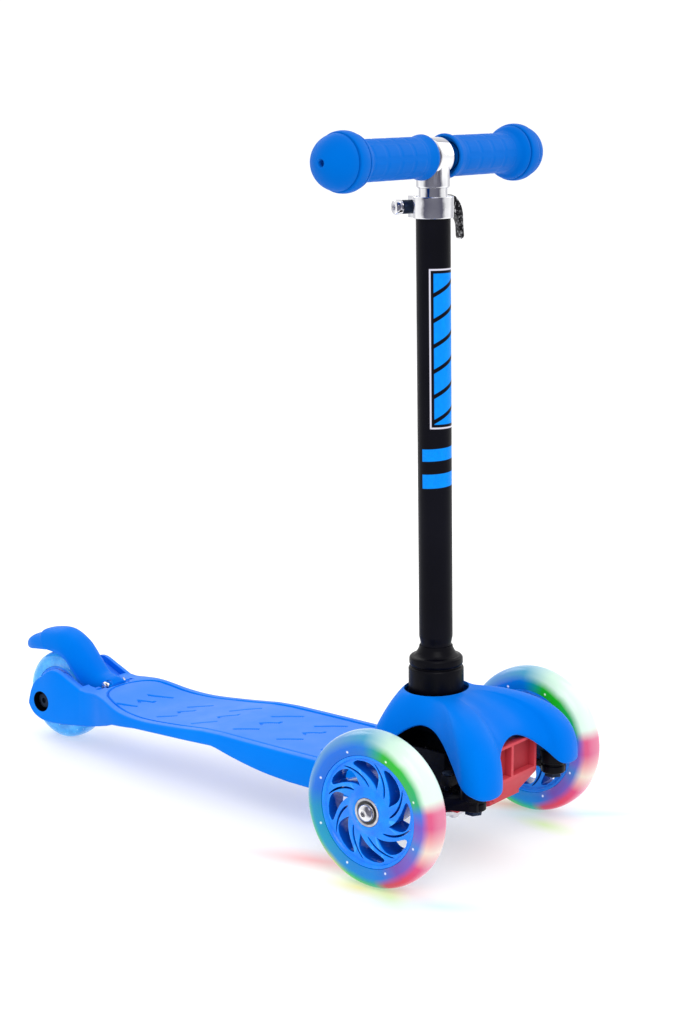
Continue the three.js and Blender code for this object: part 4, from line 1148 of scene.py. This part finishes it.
# The grip's outline from the T-joint to the ball at its end: radius and distance along the handle.
GRIP_LIP = [(14.7, 17.0), (14.7, 13.3), (15.2, 13.1), (16.3, 13.3), (16.8, 14.6), (16.6, 16.2), (15.7, 18.6),
            (15.25, 22)]
GRIP_HOLD = [(15.1, 22 + k * 0.75) for k in range(1, 91)]
GRIP_FLARE = catmull([(15.4, 90.5), (16.6, 93.6), (19.0, 95.8), (20.3, 98.4), (20.5, 99.8)], 14)
GRIP_RING = catmull([
    (20.9, 101.5), (21.5, 102.4), (21.85, 104.6), (21.93, 107.2), (21.6, 110.4), (21.0, 112.0)], 18)
GRIP_BALL = catmull([(20.2, 113.8), (20.0, 114.8), (19.4, 117.4), (18.0, 120.6), (15.8, 123.8), (12.8, 126.8),
                     (9.2, 129.2), (5.8, 130.8), (3.4, 131.4)], 26)
GRIP_HOLE = [(2.7, 130.9), (2.4, 129.8), (2.3, 126.6), (0, 126.4)]
GRIP_BORE = 11.25


def build_grip(name, side):
    grooves = ([(18.4, 100.4), (18.3, 101.1)], [(18.6, 112.6), (18.5, 113.3)])
    profile = [(GRIP_BORE, 18)] + GRIP_LIP + GRIP_HOLD + GRIP_FLARE + grooves[0] + GRIP_RING + grooves[1]
    profile += GRIP_BALL + GRIP_HOLE + [(0, 105), (GRIP_BORE, 105)]
    verts, faces = lathe([(r, side * x) for r, x in profile], "x", (0, 0, 0), 144, True)
    pts = np.array(verts)
    radius = np.hypot(pts[:, 1], pts[:, 2])
    around = (np.arctan2(pts[:, 2], pts[:, 1]) / (2 * math.pi) + 0.5) * PAD_ROUND
    lift = grip_relief(around, np.abs(pts[:, 0])) * (radius > 14)
    scale = np.where(radius > 1, 1 + lift / np.maximum(radius, 1), 1)
    pts[:, 1:] *= scale[:, None]
    mesh = mesh_from((list(map(tuple, pts)), faces), BAR)
    piece(f"handle_grip_{name}", mesh, blue_rubber, "handlebar", f"grip_{name}", 42)


# ---- small parts kept as the frame has them ----
# Near-black steel for these nodes: partly their dark finish, partly painted shade, since they sit in the
# shade inside the steering housing and the rear axle sockets.
DARK_AND_SHADED_NODES = ("rear_axle", "rear_axle_nut", "kingpin_left", "kingpin_right", "tie_rod_pin_left",
              "tie_rod_pin_right")
# Nodes too fine for rounded edges, by a word of their name.
SHARP_WORDS = ("spring", "coil", "sleeve", "spacer")
FINE_EDGE, COARSE_EDGE = 0.35, 0.6
# Slimmer sides for the steering head's tongue where it enters the tie rod.
TONGUE_TRIM = [block(x, (-25.0, -23.2), (68.0, 82.0)) for x in ((-6.0, -4.05), (4.05, 6.0))]


def dress_small_parts():
    for row in frame["record"]["subparts"]:
        node, slot = row["node"], row["material_slot"]
        if frame["nodes"][node].hide_render:
            continue
        material = dark_steel if node in DARK_AND_SHADED_NODES else MATERIALS.get(slot, black_plastic)
        width = FINE_EDGE if slot in ("steel", "chrome") else COARSE_EDGE
        if any(word in node for word in SHARP_WORDS):
            width = 0.0
        dressed(node, material, width, trim=TONGUE_TRIM if node == "steering_head" else ())


# ---- stage ----
def area_light(name, place, aim, size, power, colour=(1, 1, 1)):
    data = bpy.data.lights.new(name, "AREA")
    data.shape = "RECTANGLE"
    data.size, data.size_y = size
    data.energy = power
    data.color = colour
    light = added(name, data)
    light.location = place
    light.rotation_euler = (Vector(aim) - Vector(place)).to_track_quat("-Z", "Y").to_euler()


# Soft patches of coloured light on the floor: centre x, y, direction, half length, half width, colour.
POOLS = (
    (-96, 66, 108, 62, 17, (1.0, 0.55, 0.55)), (-117, 6, 95, 26, 12, (1.0, 0.86, 0.45)),
    (-118, -24, 60, 24, 12, (0.72, 1.0, 0.45)), (-108, -62, -60, 46, 16, (0.72, 0.92, 1.0)),
    (98, 22, 115, 34, 14, (1.0, 0.62, 0.62)), (78, -30, 80, 26, 12, (0.80, 1.0, 0.55)),
    (122, -46, -52, 60, 14, (0.66, 0.88, 1.0)),
)


def light_pools(g):
    """Colour the floor's white is multiplied by: white, with a soft tint in each pool."""
    x, y, _ = g.xyz(g.node("NewGeometry").outputs["Position"])
    tint = WHITE
    for middle_x, middle_y, degrees, length, width, colour in POOLS:
        middle = (FLOOR @ Vector((middle_x, middle_y, 0))) / MM
        cos, sin = math.cos(math.radians(degrees)), math.sin(math.radians(degrees))
        dx = g.math("SUBTRACT", x, middle.x)
        dy = g.math("SUBTRACT", y, middle.y)
        u = g.add(g.times(dx, cos / length), g.times(dy, sin / length))
        v = g.add(g.times(dx, -sin / width), g.times(dy, cos / width))
        share = g.math("POWER", g.remap(g.length(u, v), 0.0, 1.6, 1.0, 0.0), 1.4)
        tint = g.mix(share, tint, rgba(*colour))
    return tint


FLOOR_TURN = math.radians(-51.4)


def build_floor():
    """White paper that sweeps up to a wall behind the object."""
    mesh = bpy.data.meshes.new("studio_floor")
    reach, bend, rise, half_width = 5.0, 3.0, 6.0, 12.0
    profile = [(-reach, 0.0), (reach, 0.0)]
    curve = np.linspace(0.05, math.pi / 2, 16)
    profile += [(reach + bend * math.sin(a), bend - bend * math.cos(a)) for a in curve]
    profile += [(reach + bend, rise)]
    verts = [(u, w, h) for u in (-half_width, half_width) for w, h in profile]
    count = len(profile)
    mesh.from_pydata(verts, [], [(k, k + 1, count + k + 1, count + k) for k in range(count - 1)])
    floor = added("studio_floor", mesh)
    floor.rotation_euler = (0.0, 0.0, FLOOR_TURN)
    g = Graph("floor_paper")
    pools = light_pools(g)
    tone = g.mix(g.noise(3.0, 3.0), rgba(0.60, 0.60, 0.60), rgba(0.63, 0.63, 0.63))
    tone = g.mix(1.0, tone, pools, "MULTIPLY")
    paper = g.finish(tone, 0.7, None, {
        "Specular IOR Level": 0.1, "Emission Color": pools, "Emission Strength": 0.42})
    mesh.materials.append(paper)


def build_lighting():
    world = bpy.data.worlds.new("studio")
    bpy.context.scene.world = world
    world.use_nodes = True
    background = world.node_tree.nodes["Background"]
    background.inputs["Color"].default_value = WHITE
    background.inputs["Strength"].default_value = 1.0
    area_light("key", (-1.3, -1.5, 2.2), (0, 0, 0.2), (1.6, 1.6), 26)
    area_light("fill", (1.8, -0.8, 1.4), (0, 0, 0.2), (1.2, 1.6), 9)
    area_light("back", (0.6, 1.8, 1.6), (0, 0, 0.2), (1.6, 1.0), 12)
    settings = bpy.context.scene.view_settings
    settings.view_transform = "Standard"
    settings.look = "None"
    settings.exposure = 0.0


def build_camera():
    data = bpy.data.cameras.new("camera")
    data.sensor_fit = "VERTICAL"
    data.sensor_width = 36.0
    data.sensor_height = 36.0
    data.lens = 72.565
    data.clip_start, data.clip_end = 0.05, 60.0
    camera = added("camera", data)
    right = Vector((0.62351, -0.78181, 0.0))
    up = Vector((0.16564, 0.13210, 0.97730))
    back = Vector((-0.76406, -0.60936, 0.21187))
    turn = Matrix((right, up, back)).transposed().to_4x4()
    place = FLOOR @ Vector((-1249.61, -880.07, 596.99))
    camera.matrix_world = Matrix.Translation(place) @ turn
    bpy.context.scene.camera = camera


build_deck()
build_cover()
for side_name, sign in SIDES:
    build_front_wheel(side_name, sign)
    build_axle_bolt(side_name, sign)
    build_grip(side_name, sign)
build_rear_wheel()
build_fender()
build_brake_pin()
build_base_collar()
build_lower_tube()
build_clamp()
build_clamp_nut()
build_cam_lever()
build_stem()
build_tee()
dress_small_parts()
build_floor()
build_lighting()
build_camera()
